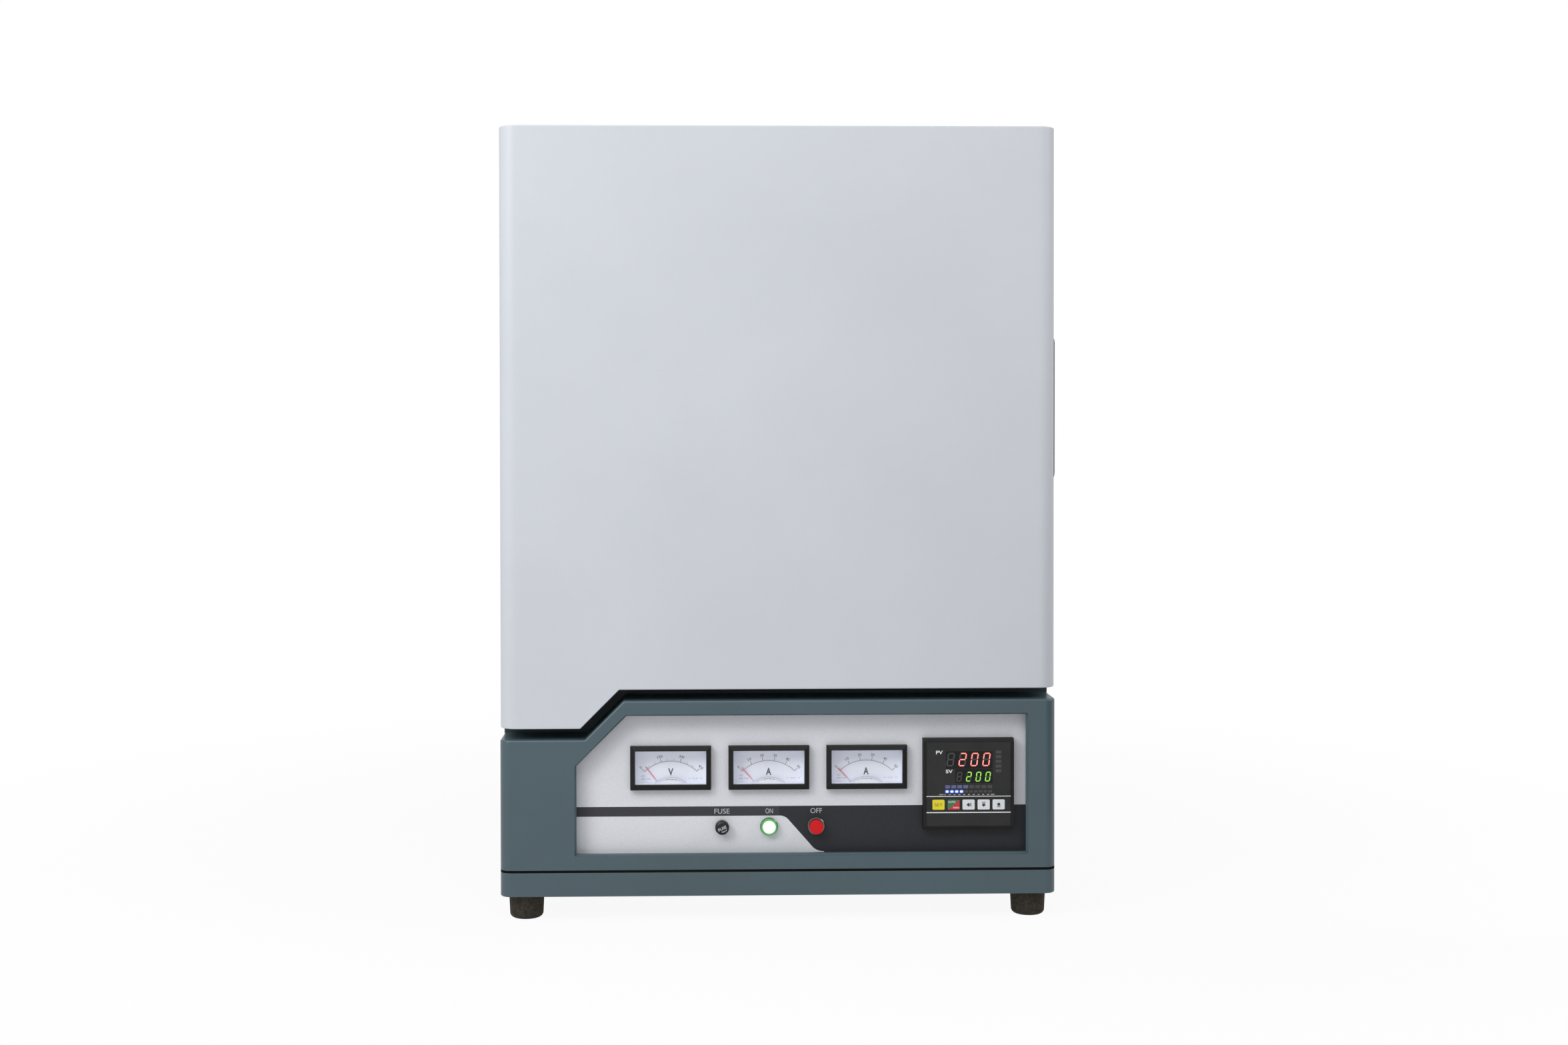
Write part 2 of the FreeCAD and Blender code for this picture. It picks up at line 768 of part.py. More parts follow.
def hearth_plate():
    """The ceramic plate on the chamber floor that carries the load."""
    x_reach = chamber_half - hearth_margin
    bottom = chamber_z - chamber_half_height
    plan = rectangle(-x_reach, x_reach, chamber_front + hearth_margin, chamber_back - hearth_margin)
    return prism(plan, "xy", bottom, bottom + hearth_thickness, hearth_margin)


def thermocouple():
    """The ceramic sheath through the rear wall with its head and clamp flange behind the casing."""
    reach = casing_back + casing_sheet - (chamber_back - thermocouple_reach)
    tip = (thermocouple_x, chamber_back - thermocouple_reach, thermocouple_z)
    profile = [
        (0, 0),
        (thermocouple_radius - 1, 0),
        (thermocouple_radius, 1),
        (thermocouple_radius, reach),
        (thermocouple_head_radius, reach),
        (thermocouple_head_radius, reach + 3),
        (thermocouple_head_radius - 3, reach + 3),
        (thermocouple_head_radius - 3, reach + thermocouple_head_length),
        (0, reach + thermocouple_head_length),
    ]
    return turned(profile, tip, (0, 1, 0))


def exhaust_tube():
    """The exhaust tube from the chamber to the rear, with its collar on the rear panel."""
    end = back + exhaust_reach
    profile = [
        (exhaust_inner_radius, 0),
        (exhaust_outer_radius, 0),
        (exhaust_outer_radius, back - chamber_back),
        (exhaust_collar_radius, back - chamber_back),
        (exhaust_collar_radius, back - chamber_back + exhaust_collar),
        (exhaust_outer_radius, back - chamber_back + exhaust_collar),
        (exhaust_outer_radius, end - chamber_back),
        (exhaust_inner_radius, end - chamber_back),
    ]
    return turned(profile, (0, chamber_back, exhaust_z), (0, 1, 0))


def meter_window(grow=0.0):
    """The corners of a meter's window about its own x, as spans, grown by a margin."""
    return (-glass_half - grow, glass_half + grow), (glass_bottom - grow, glass_top + grow)


def shifted(span, offset):
    """A span moved along its axis."""
    return (span[0] + offset, span[1] + offset)


def meter_case(x):
    """A moving-coil meter: bevelled bezel, neck through the panel, housing and movement post behind."""
    bezel_x = (x - meter_width / 2, x + meter_width / 2)
    bezel_z = (meter_z - meter_height / 2, meter_z + meter_height / 2)
    shoulder = panel_front - meter_proud + meter_bevel
    bezel = span_box(bezel_x, (shoulder, panel_front), bezel_z)
    low = outline_wire(rectangle(*bezel_x, *bezel_z), "xz", shoulder, [0.0] * 4)
    crown = rectangle(*shifted(meter_window(1.0)[0], x), *meter_window(1.0)[1])
    high = outline_wire(crown, "xz", panel_front - meter_proud, [0.0] * 4)
    bezel = bezel.fuse(Part.makeLoft([low, high], True))
    neck_x, neck_z = meter_window(meter_neck_wall)
    neck = span_box(shifted(neck_x, x), (panel_front, plate_back), neck_z)
    floor_z = pivot_z - pivot_floor
    rear = plate_back + meter_rear_depth
    housing_z = (floor_z, neck_z[1])
    housing = span_box(shifted(neck_x, x), (plate_back, rear), housing_z)
    hollow_x = (x + neck_x[0] + meter_wall, x + neck_x[1] - meter_wall)
    hollow_z = (floor_z + meter_wall, neck_z[1] - meter_wall)
    housing = housing.cut(span_box(hollow_x, (plate_back + housing_front, rear - meter_wall), hollow_z))
    case = bezel.fuse(neck).fuse(housing)
    window_x, window_z = meter_window()
    opening_y = (panel_front - meter_proud - 1, plate_back + housing_front + 0.5)
    case = case.cut(span_box(shifted(window_x, x), opening_y, window_z))
    post_front = plate_back + dial_setback
    post_length = rear - post_front - meter_wall / 2
    post = rod((x, post_front, pivot_z), (0, 1, 0), pointer_hub_radius * 2, post_length)
    pin_front = plate_back + housing_front + small_gap
    pin = rod((x, pin_front, pivot_z), (0, 1, 0), pivot_pin_radius, post_front - pin_front + 1)
    return case.fuse(post).fuse(pin).removeSplitter()


def meter_dials():
    """The three dial plates behind the windows."""
    dials = []
    window_x, window_z = meter_window(meter_neck_wall - meter_wall)
    y_span = (plate_back + dial_setback, plate_back + dial_setback + dial_thickness)
    for x in meter_places:
        x_span = (x + window_x[0] + small_gap, x + window_x[1] - small_gap)
        z_span = (window_z[0] - 1.0, window_z[1] - small_gap)
        dials.append(span_box(x_span, y_span, z_span))
    return Part.makeCompound(dials)


def meter_covers():
    """The round-topped covers that hide each movement at the foot of the window."""
    covers = []
    centre_z = pivot_z - cover_drop
    z_span = (glass_bottom, centre_z + cover_radius)
    for x in meter_places:
        disc = rod((x, plate_front, centre_z), (0, 1, 0), cover_radius, cover_thickness)
        above = span_box(
            (x - cover_radius, x + cover_radius), (plate_front, plate_front + cover_thickness), z_span
        )
        covers.append(disc.common(above))
    return Part.makeCompound(covers)


def meter_windows():
    """The glass panes in the meter bezels."""
    panes = []
    window_x, window_z = meter_window(-small_gap)
    start = panel_front - meter_proud + glass_setback
    for x in meter_places:
        panes.append(span_box(shifted(window_x, x), (start, start + glass_thickness), window_z))
    return Part.makeCompound(panes)


def pointer(x, angle):
    """A balanced needle on its hub, turned from upright by an angle (positive to the right)."""
    back_level = plate_back + dial_setback - 2 * small_gap
    hub_front = plate_back + housing_front + 2 * small_gap
    hub_length = back_level - hub_front
    hub = rod((x, hub_front, pivot_z), (0, 1, 0), pointer_hub_radius, hub_length)
    weight = rod((x, hub_front, pivot_z - balance_reach), (0, 1, 0), balance_radius, hub_length)
    level = hub_front + small_gap
    blade = span_box(
        (x - pointer_width / 2, x + pointer_width / 2),
        (level, level + pointer_thickness),
        (pivot_z, pivot_z + pointer_length),
    )
    tail = span_box(
        (x - pointer_width, x + pointer_width),
        (level, level + pointer_thickness),
        (pivot_z - balance_reach, pivot_z),
    )
    needle = hub.fuse(weight).fuse(blade).fuse(tail)
    bore = pivot_pin_radius + pivot_bore_clearance
    needle = needle.cut(rod((x, hub_front - 1, pivot_z), (0, 1, 0), bore, hub_length + 2))
    needle.rotate(Vector(x, 0, pivot_z), Vector(0, 1, 0), angle)
    return needle


def key_pocket(x, grow, y_low, y_high):
    """The space of one key, grown by a margin."""
    x_span = (x - key_width / 2 - grow, x + key_width / 2 + grow)
    z_span = (key_z - key_height / 2 - grow, key_z + key_height / 2 + grow)
    return span_box(x_span, (y_low, y_high), z_span)


def controller_case():
    """The panel-mounted temperature controller: bezel bevelled top and bottom, and its body behind."""
    reach = controller_size / 2
    nose = panel_front - controller_proud
    profile = [
        (panel_front, controller_z - reach),
        (panel_front, controller_z + reach),
        (nose + controller_bevel / 2, controller_z + reach),
        (nose, controller_z + reach - controller_bevel),
        (nose, controller_z - reach + controller_bevel),
        (nose + controller_bevel / 2, controller_z - reach),
    ]
    profile.reverse()
    case = prism(profile, "yz", controller_x - reach, controller_x + reach)
    body = controller_body / 2
    body_x = (controller_x - body, controller_x + body)
    body_z = (controller_z - body, controller_z + body)
    case = case.fuse(span_box(body_x, (panel_front, plate_back + controller_body_depth), body_z))
    seat = face_size / 2 + small_gap
    seat_x = (controller_x - seat, controller_x + seat)
    seat_z = (controller_z - seat, controller_z + seat)
    case = case.cut(span_box(seat_x, (nose - 1, face_front + face_thickness), seat_z))
    for x in key_places:
        bottom = face_front + key_depth + key_travel
        case = case.cut(key_pocket(x, key_gap, nose, bottom))
    return case.removeSplitter()


def controller_face():
    """The dark front plate of the controller, with an opening for each key."""
    reach = face_size / 2
    x_span = (controller_x - reach, controller_x + reach)
    z_span = (controller_z - reach, controller_z + reach)
    plate = span_box(x_span, (face_front, face_front + face_thickness), z_span)
    for x in key_places:
        plate = plate.cut(key_pocket(x, key_gap, face_front - 1, face_front + face_thickness + 1))
    return plate


def controller_key(x):
    """One soft key of the controller, with rounded corners and a softened front edge."""
    u = (x - key_width / 2, x + key_width / 2)
    v = (key_z - key_height / 2, key_z + key_height / 2)
    key_back = face_front + key_depth - small_gap
    key = prism(rectangle(*u, *v), "xz", face_front - key_proud, key_back, key_corner)
    rim = [e for e in key.Edges if e.BoundBox.YMax < face_front - key_proud + 0.01]
    return key.makeFillet(key_rim, rim)


def push_button_bezel(x, head_radius):
    """A chromed push-button bezel with its threaded barrel, bore and fixing nut."""
    ring_front = panel_front - bezel_proud
    profile = [
        (stem_radius + head_gap, bezel_proud - bezel_floor),
        (head_radius + head_gap, bezel_proud - bezel_floor),
        (head_radius + head_gap, 0),
        (bezel_radius - 0.6, 0),
        (bezel_radius, 0.6),
        (bezel_radius, bezel_proud),
        (barrel_radius, bezel_proud),
        (barrel_radius, bezel_proud + barrel_length),
        (stem_radius + head_gap, bezel_proud + barrel_length),
    ]
    bezel = turned(profile, (x, ring_front, button_z), (0, 1, 0))
    nut = hexagon_nut((x, plate_back, button_z), (0, 1, 0), nut_radius, nut_thickness, barrel_radius - 0.5)
    return bezel.fuse(nut)


def push_button_head(x, head_radius, proud, crown):
    """A push-button head on its stem, with a crowned front."""
    ring_front = panel_front - bezel_proud
    length = proud + head_gap
    profile = [
        (0, 0),
        (head_radius - 3 * crown, 0),
        (head_radius - crown, crown / 3),
        (head_radius, crown),
        (head_radius, length),
        (stem_radius, length),
        (stem_radius, length + stem_length),
        (0, length + stem_length),
    ]
    return turned(profile, (x, ring_front - proud, button_z), (0, 1, 0))


def fuse_holder():
    """The panel fuse holder: flange, threaded barrel, bore for the fuse and its nut."""
    profile = [
        (fuse_bore_radius, 0),
        (fuse_flange_radius, 0),
        (fuse_flange_radius, fuse_flange),
        (fuse_barrel_radius, fuse_flange),
        (fuse_barrel_radius, fuse_flange + fuse_barrel_length),
        (0, fuse_flange + fuse_barrel_length),
        (0, fuse_flange + fuse_barrel_length - 2),
        (fuse_bore_radius, fuse_flange + fuse_barrel_length - 2),
    ]
    holder = turned(profile, (fuse_x, panel_front - fuse_flange, button_z), (0, 1, 0))
    nut_start = (fuse_x, plate_back, button_z)
    nut = hexagon_nut(nut_start, (0, 1, 0), nut_radius - 2, nut_thickness, fuse_barrel_radius - 0.5)
    return holder.fuse(nut)


def fuse_cap():
    """The domed fuse cap, grooved round its skirt for grip, with the carrier stem behind."""
    tall = fuse_cap_proud - fuse_flange - small_gap
    profile = [
        (0, 0),
        (fuse_cap_radius * 0.62, 0.5),
        (fuse_cap_radius * 0.9, 1.4),
        (fuse_cap_radius, 2.8),
        (fuse_cap_radius, tall),
        (fuse_stem_radius, tall),
        (fuse_stem_radius, tall + fuse_stem_length),
        (0, tall + fuse_stem_length),
    ]
    start = (fuse_x, panel_front - fuse_cap_proud, button_z)
    cap = turned(profile, start, (0, 1, 0))
    for index in range(8):
        turn = math.radians(45 * index)
        centre = (
            fuse_x + fuse_cap_radius * math.cos(turn),
            start[1] + 2.8,
            button_z + fuse_cap_radius * math.sin(turn),
        )
        cap = cap.cut(rod(centre, (0, 1, 0), 0.5, tall))
    return cap


def fan_frame():
    """The square frame of the cooling fan, with its motor plate, spokes and shaft."""
    y_span = (base_inner_back - fan_thickness, base_inner_back)
    reach = fan_size / 2
    square = rectangle(fan_x - reach, fan_x + reach, fan_z - reach, fan_z + reach)
    frame = prism(square, "xz", *y_span, 6.0)
    frame = frame.cut(rod((fan_x, y_span[0] - 1, fan_z), (0, 1, 0), fan_bore_radius, fan_thickness + 2))
    plate = rod((fan_x, y_span[0], fan_z), (0, 1, 0), fan_hub_radius, 4.0)
    for index in range(3):
        spoke_z = (fan_z, fan_z + fan_bore_radius + 1)
        spoke = span_box((fan_x - 2.5, fan_x + 2.5), (y_span[0], y_span[0] + 4), spoke_z)
        spoke.rotate(Vector(fan_x, 0, fan_z), Vector(0, 1, 0), 120 * index)
        plate = plate.fuse(spoke)
    shaft = rod((fan_x, y_span[0] + 3, fan_z), (0, 1, 0), fan_shaft_radius, fan_thickness - 8)
    return frame.fuse(plate).fuse(shaft)


def fan_rotor():
    """The fan's hub with its pitched blades, bored for the shaft."""
    start = base_inner_back - fan_thickness + 4 + hole_clearance
    length = fan_thickness - 8
    hub = rod((fan_x, start, fan_z), (0, 1, 0), fan_hub_radius, length)
    swept = rod((fan_x, start, fan_z), (0, 1, 0), fan_blade_radius, length)
    rotor = hub
    for index in range(fan_blades):
        chord = 34.0
        middle = start + length / 2
        blade = span_box(
            (fan_x - chord / 2, fan_x + chord / 2),
            (middle - 0.8, middle + 0.8),
            (fan_z + fan_hub_radius - 3, fan_z + fan_blade_radius + 5),
        )
        blade.rotate(Vector(fan_x, middle, fan_z), Vector(0, 0, 1), 38)
        blade.rotate(Vector(fan_x, 0, fan_z), Vector(0, 1, 0), 360 * index / fan_blades)
        rotor = rotor.fuse(blade.common(swept))
    bore = rod((fan_x, start - 1, fan_z), (0, 1, 0), fan_shaft_radius + pin_clearance, length + 2)
    return rotor.cut(bore)


def power_controller():
    """The finned heat sink on the tray floor and the solid-state relay on top of it."""
    floor = plinth_bottom + sheet
    top = floor + heat_sink_height
    low_plate = span_box(heat_sink_x, heat_sink_y, (floor, floor + heat_sink_base))
    high_plate = span_box(heat_sink_x, heat_sink_y, (top - heat_sink_base, top))
    sink = low_plate.fuse(high_plate)
    pitch = (heat_sink_x[1] - heat_sink_x[0] - fin_thickness) / (fin_count - 1)
    for index in range(fin_count):
        x = heat_sink_x[0] + index * pitch
        sink = sink.fuse(span_box((x, x + fin_thickness), heat_sink_y, (floor, top)))
    middle_x, middle_y = sum(heat_sink_x) / 2, sum(heat_sink_y) / 2
    relay_x = (middle_x - relay_width / 2, middle_x + relay_width / 2)
    relay_y = (middle_y - relay_length / 2, middle_y + relay_length / 2)
    relay = span_box(relay_x, relay_y, (top, top + relay_height))
    return Part.makeCompound([sink.removeSplitter(), relay])


def contactor():
    """The mains contactor that the two push buttons switch, with its narrower upper half."""
    floor = plinth_bottom + sheet
    lower = span_box(contactor_x, contactor_y, (floor, floor + contactor_height))
    upper_x = (contactor_x[0] + contactor_shoulder, contactor_x[1] - contactor_shoulder)
    upper_y = (contactor_y[0] + contactor_shoulder, contactor_y[1] - contactor_shoulder)
    return lower.fuse(span_box(upper_x, upper_y, (floor, floor + contactor_top_height))).removeSplitter()


def terminal_block():
    """The mains terminal block near the cable gland, with an open pocket for each wire."""
    floor = plinth_bottom + sheet
    block = span_box(terminal_x, terminal_y, (floor, floor + terminal_height))
    pitch = (terminal_x[1] - terminal_x[0]) / terminal_ways
    for index in range(terminal_ways):
        x = terminal_x[0] + (index + 0.5) * pitch
        pocket_x = (x - terminal_pocket / 2, x + terminal_pocket / 2)
        pocket_y = (terminal_y[0] - 1, terminal_y[0] + terminal_pocket)
        pocket_z = (floor + terminal_height / 2, floor + terminal_height + 1)
        block = block.cut(span_box(pocket_x, pocket_y, pocket_z))
    return block


def cable_gland():
    """The gland in the rear cover for the mains lead: hexagon, dome, bore and inner nut."""
    z = base_bottom + gland_above_base
    flange_radius = gland_radius + 3.5
    dome_start = sheet + gland_hexagon
    profile = [
        (gland_bore_radius, -gland_inner_length),
        (gland_radius, -gland_inner_length),
        (gland_radius, sheet),
        (flange_radius, sheet),
        (flange_radius, dome_start),
        (flange_radius - 2, dome_start + 1),
        (flange_radius - 2, dome_start + gland_dome * 0.6),
        (gland_bore_radius + 2.5, dome_start + gland_dome),
        (gland_bore_radius, dome_start + gland_dome),
    ]
    gland = turned(profile, (gland_x, base_inner_back, z), (0, 1, 0))
    nut_start = (gland_x, base_inner_back, z)
    return gland.fuse(hexagon_nut(nut_start, (0, -1, 0), gland_radius + 5, 5.0, gland_radius - 0.5))


def hinge_brackets():
    """The two fixed hinge halves: a foot on the front frame, an arm and the lower knuckle."""
    brackets = []
    for z in hinge_heights:
        z_span = (z - knuckle_length, z - knuckle_gap / 2)
        knuckle = rod((axis_x, axis_y, z_span[0]), (0, 0, 1), knuckle_radius, z_span[1] - z_span[0])
        arm_x = (axis_x - hinge_leaf / 2, axis_x + hinge_leaf / 2)
        arm = span_box(arm_x, (axis_y, frame_face), z_span)
        foot_x = (-half + 2, axis_x + axis_from_back - 2)
        foot = span_box(foot_x, (frame_face - hinge_leaf + 1, frame_face), z_span)
        bracket = knuckle.fuse(arm).fuse(foot)
        bore = rod((axis_x, axis_y, z_span[0] - 1), (0, 0, 1), pin_radius, knuckle_length + 2)
        brackets.append(bracket.cut(bore))
    return Part.makeCompound(brackets)


def hinge_pins():
    """The pins that are pressed into the lower knuckles and carry the door."""
    pins = []
    for z in hinge_heights:
        pin = rod((axis_x, axis_y, z - knuckle_length), (0, 0, 1), pin_radius, 2 * knuckle_length - 1)
        tip = [e for e in pin.Edges if isinstance(e.Curve, Part.Circle) and e.BoundBox.ZMin > z]
        pins.append(pin.makeChamfer(1.0, tip))
    return Part.makeCompound(pins)


def door_hinge_leaves():
    """The two door halves of the hinges: upper knuckle, web and a leaf on the inner plate."""
    leaves = []
    for z in hinge_heights:
        z_span = (z + knuckle_gap / 2, z + knuckle_length)
        knuckle = rod((axis_x, axis_y, z_span[0]), (0, 0, 1), knuckle_radius, z_span[1] - z_span[0])
        inner_face = door_back - sheet
        web_x = (axis_x - hinge_leaf / 2, axis_x + knuckle_radius)
        web = span_box(web_x, (axis_y, inner_face), z_span)
        leaf_x = (axis_x, axis_x + 2 * notch_right + knuckle_radius)
        leaf = span_box(leaf_x, (inner_face - hinge_leaf, inner_face), z_span)
        bored = knuckle.fuse(web).fuse(leaf)
        bore = rod((axis_x, axis_y, z_span[0] - 1), (0, 0, 1), pin_radius + pin_clearance, knuckle_length + 2)
        leaves.append(bored.cut(bore))
    return Part.makeCompound(leaves)


def hinge_notches(y_high):
    """The spaces cut in the door's rear left edge so that it can swing round the fixed brackets."""
    notches = []
    for z in hinge_heights:
        reach = knuckle_length + notch_end_gap
        x_span = (-half - 1, axis_x + notch_right)
        notches.append(span_box(x_span, (axis_y - notch_forward, y_high), (z - reach, z + reach)))
    return Part.makeCompound(notches)


def handle_cup(grow):
    """The outside of the recessed handle's cup, grown by a margin."""
    y_reach = handle_width / 2 - handle_rim + grow
    z_reach = handle_length / 2 - handle_border + handle_wall + grow
    outline = rectangle(handle_y - y_reach, handle_y + y_reach, handle_z - z_reach, handle_z + z_reach)
    return prism(outline, "yz", half - handle_depth, half + grow, y_reach / 2)


def door_skin():
    """The outer steel pan of the door: round upright edges and a stepped lower edge."""
    plan = rectangle(-half, half, front, door_back)
    plan_radii = [door_edge_radius, door_edge_radius, 0.0, 0.0]
    outer = prism(door_outline, "xz", front, door_back, door_radii)
    outer = outer.common(prism(plan, "xy", door_low, door_top, plan_radii))
    outer = outer.makeFillet(sheet, rim_edges(outer, door_back, door_low - 1))
    inner_plan = rectangle(-half + sheet, half - sheet, front + sheet, door_back + 1)
    inner_radii = [door_edge_radius - sheet, door_edge_radius - sheet, 0.0, 0.0]
    inner = prism(inset(door_outline, sheet), "xz", front + sheet, door_back + 1, door_radii)
    inner = inner.common(prism(inner_plan, "xy", door_low, door_top, inner_radii))
    skin = outer.cut(inner)
    skin = skin.cut(hinge_notches(door_back + 1))
    return skin.cut(handle_cup(hole_clearance))


def door_liner():
    """The inner plate of the door, with the opening for the plug and the hinge notches."""
    plate = prism(inset(door_outline, sheet + small_gap), "xz", door_back - sheet, door_back)
    reach_x = chamber_half - plug_clearance_root + hole_clearance
    reach_z = chamber_half_height - plug_clearance_root + hole_clearance
    hole = rectangle(-reach_x, reach_x, chamber_z - reach_z, chamber_z + reach_z)
    plate = plate.cut(prism(hole, "xz", door_back - sheet - 1, door_back + 1))
    return plate.cut(hinge_notches(door_back + 1))


def door_plug():
    """The ceramic fibre block in the door, with the tapered nose that closes the chamber."""
    base_reach = chamber_half + 3 * throat_step
    base_front = front + sheet + hole_clearance
    base_low, base_high = chamber_z - base_reach, chamber_z + base_reach
    block = span_box((-base_reach, base_reach), (base_front, door_back - sheet), (base_low, base_high))
    wires = []
    for level, clearance in (
        (door_back - 2 * sheet, plug_clearance_root),
        (door_back + plug_reach, plug_clearance_tip),
    ):
        reach_x = chamber_half - clearance
        reach_z = chamber_half_height - clearance
        outline = rectangle(-reach_x, reach_x, chamber_z - reach_z, chamber_z + reach_z)
        wires.append(outline_wire(outline, "xz", level, [0.0] * 4))
    return block.fuse(Part.makeLoft(wires, True)).removeSplitter()


def door_seal():
    """The fibre rope gasket round the plug, which meets the front frame."""
    reach = chamber_half + seal_outset
    low, high = chamber_z - reach, chamber_z + reach
    y_span = (door_back, frame_face - 2 * hole_clearance)
    ring = prism(rectangle(-reach, reach, low, high), "xz", *y_span, seal_corner)
    hole = rectangle(-reach + seal_width, reach - seal_width, low + seal_width, high - seal_width)
    return ring.cut(prism(hole, "xz", y_span[0] - 1, y_span[1] + 1, seal_corner - seal_width + 2))


def door_handle():
    """The recessed pull in the door's right edge: a rim and a cup for the fingers."""
    y_reach = handle_width / 2
    z_reach = handle_length / 2
    outline = rectangle(handle_y - y_reach, handle_y + y_reach, handle_z - z_reach, handle_z + z_reach)
    rim = prism(outline, "yz", half, half + handle_rim, y_reach / 2)
    outer_edges = [e for e in rim.Edges if e.BoundBox.XMin > half + handle_rim - 0.01]
    rim = rim.makeFillet(handle_rim * 0.6, outer_edges)
    body = rim.fuse(handle_cup(0.0))
    y_inner = y_reach - handle_rim - handle_wall
    z_inner = z_reach - handle_border
    pocket = rectangle(handle_y - y_inner, handle_y + y_inner, handle_z - z_inner, handle_z + z_inner)
    floor = half - handle_depth + handle_wall
    return body.cut(prism(pocket, "yz", floor, half + handle_rim + 1, y_inner / 2))


def door_switch():
    """The magnetic door switch on the front frame, above the mouth."""
    y_span = (door_back + hole_clearance, frame_face)
    return span_box(switch_x, y_span, (body_top - switch_drop, body_top - switch_drop + switch_height))


def catch_magnets():
    """The two magnets on the front frame that hold the door shut."""
    y_span = (door_back + hole_clearance, frame_face)
    middle = (door_high + door_top) / 2
    catches = []
    for side in (-1, 1):
        z = middle + side * magnet_reach
        magnet_x = (half - magnet_inset - magnet_width, half - magnet_inset)
        catches.append(span_box(magnet_x, y_span, (z - magnet_length / 2, z + magnet_length / 2)))
    return Part.makeCompound(catches)


pieces = {
    "rubber_feet": rubber_feet(),
    "plinth_tray": plinth_tray(),
    "base_shell": base_shell(),
    "base_rear_panel": base_rear_panel(),
    "console_fascia": console_fascia(),
    "control_panel": control_panel(),
    "panel_overlay": panel_overlay(),
    "side_panel_left": body_side_panel(-1),
    "side_panel_right": body_side_panel(1),
    "top_panel": top_panel(),
    "rear_panel": rear_panel(),
    "front_frame": front_frame(),
    "inner_casing": inner_casing(),
    "insulation_floor": insulation_slab(-1),
    "insulation_roof": insulation_slab(1),
    "insulation_left": insulation_wall(-1),
    "insulation_right": insulation_wall(1),
    "insulation_rear": insulation_rear(),
    "hearth_plate": hearth_plate(),
    "heating_element_left": heating_element(-1),
    "heating_element_right": heating_element(1),
    "thermocouple": thermocouple(),
    "exhaust_tube": exhaust_tube(),
    "meter_dials": meter_dials(),
    "meter_covers": meter_covers(),
    "meter_windows": meter_windows(),
    "controller_case": controller_case(),
    "controller_face": controller_face(),
    "fuse_holder": fuse_holder(),
    "button_bezels": Part.makeCompound(
        [push_button_bezel(on_x, on_lens_radius), push_button_bezel(off_x, off_cap_radius)]
    ),
    "fan_frame": fan_frame(),
    "power_controller": power_controller(),
    "contactor": contactor(),
    "terminal_block": terminal_block(),
    "cable_gland": cable_gland(),
    "hinge_brackets": hinge_brackets(),
    "hinge_pins": hinge_pins(),
    "door_switch": door_switch(),
    "catch_magnets": catch_magnets(),
    "on_button": push_button_head(on_x, on_lens_radius, on_lens_proud, 1.2),
    "off_button": push_button_head(off_x, off_cap_radius, off_cap_proud, 0.5),
    "fuse_cap": fuse_cap(),
    "fan_rotor": fan_rotor(),
    "door_skin": door_skin(),
    "door_liner": door_liner(),
    "door_plug": door_plug(),
    "door_seal": door_seal(),
    "door_handle": door_handle(),
    "door_hinge_leaves": door_hinge_leaves(),
}
for name, x, raised in zip(meter_names, meter_places, rest_angles):
    pieces[name + "_case"] = meter_case(x)
    pieces[name + "_pointer"] = pointer(x, raised - scale_half_angle)
for name, x in zip(key_names, key_places):
    pieces[name] = controller_key(x)

os.makedirs("parts", exist_ok=True)
for name, shape in pieces.items():
    shape.exportStep(os.path.join("parts", name + ".step"))
print(len(pieces), "nodes")
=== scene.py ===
# %% [markdown]
# # Dressing a muffle furnace
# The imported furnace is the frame: each part is already at its real place and size, in metres.
# The cells below give each part its surface, and rebuild as smooth surfaces the parts whose
# soft edges, prints and windings a plain solid can't show. Sizes are written in millimetres,
# as on a workshop drawing, and become metres in one place.

import json
import math
import bmesh
import bpy
import numpy as np
from mathutils import Matrix, Vector

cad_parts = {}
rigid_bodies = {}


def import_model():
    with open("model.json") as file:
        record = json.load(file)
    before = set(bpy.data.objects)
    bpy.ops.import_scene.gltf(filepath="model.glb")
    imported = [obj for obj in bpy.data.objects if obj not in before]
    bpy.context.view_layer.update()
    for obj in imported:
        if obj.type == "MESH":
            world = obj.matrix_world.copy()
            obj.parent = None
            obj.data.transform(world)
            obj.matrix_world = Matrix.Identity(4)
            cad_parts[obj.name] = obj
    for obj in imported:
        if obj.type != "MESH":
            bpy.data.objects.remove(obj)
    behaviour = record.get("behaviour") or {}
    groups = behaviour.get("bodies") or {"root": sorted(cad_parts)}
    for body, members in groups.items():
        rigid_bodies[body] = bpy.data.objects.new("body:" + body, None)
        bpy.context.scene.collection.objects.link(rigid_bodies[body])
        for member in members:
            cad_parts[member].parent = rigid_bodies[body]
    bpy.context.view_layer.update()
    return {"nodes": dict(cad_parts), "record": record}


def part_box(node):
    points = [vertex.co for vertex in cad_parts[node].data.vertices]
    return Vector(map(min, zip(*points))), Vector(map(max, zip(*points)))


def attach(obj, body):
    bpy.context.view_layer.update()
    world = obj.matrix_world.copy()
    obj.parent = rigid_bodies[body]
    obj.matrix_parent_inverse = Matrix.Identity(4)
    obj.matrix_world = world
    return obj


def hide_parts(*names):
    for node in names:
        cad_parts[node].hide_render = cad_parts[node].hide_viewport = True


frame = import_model()
mm = 0.001
record = frame["record"]
body_of = {node: body for body, nodes in record["behaviour"]["bodies"].items() for node in nodes}
slot_of = {part["node"]: part["material_slot"] for part in record["subparts"]}
print("parts in the frame:", len(frame["nodes"]))

# %% [markdown]
# ## Measuring the frame
# A new surface has to sit exactly where the part it dresses sits, so its sizes are read from
# the frame and not typed again. One function gives a part's lowest and highest corner.


# %% Reading a part's corners
def corners(node):
    """A part's lowest and highest corner in millimetres, as two arrays."""
    low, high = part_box(node)
    return np.array(low) / mm, np.array(high) / mm


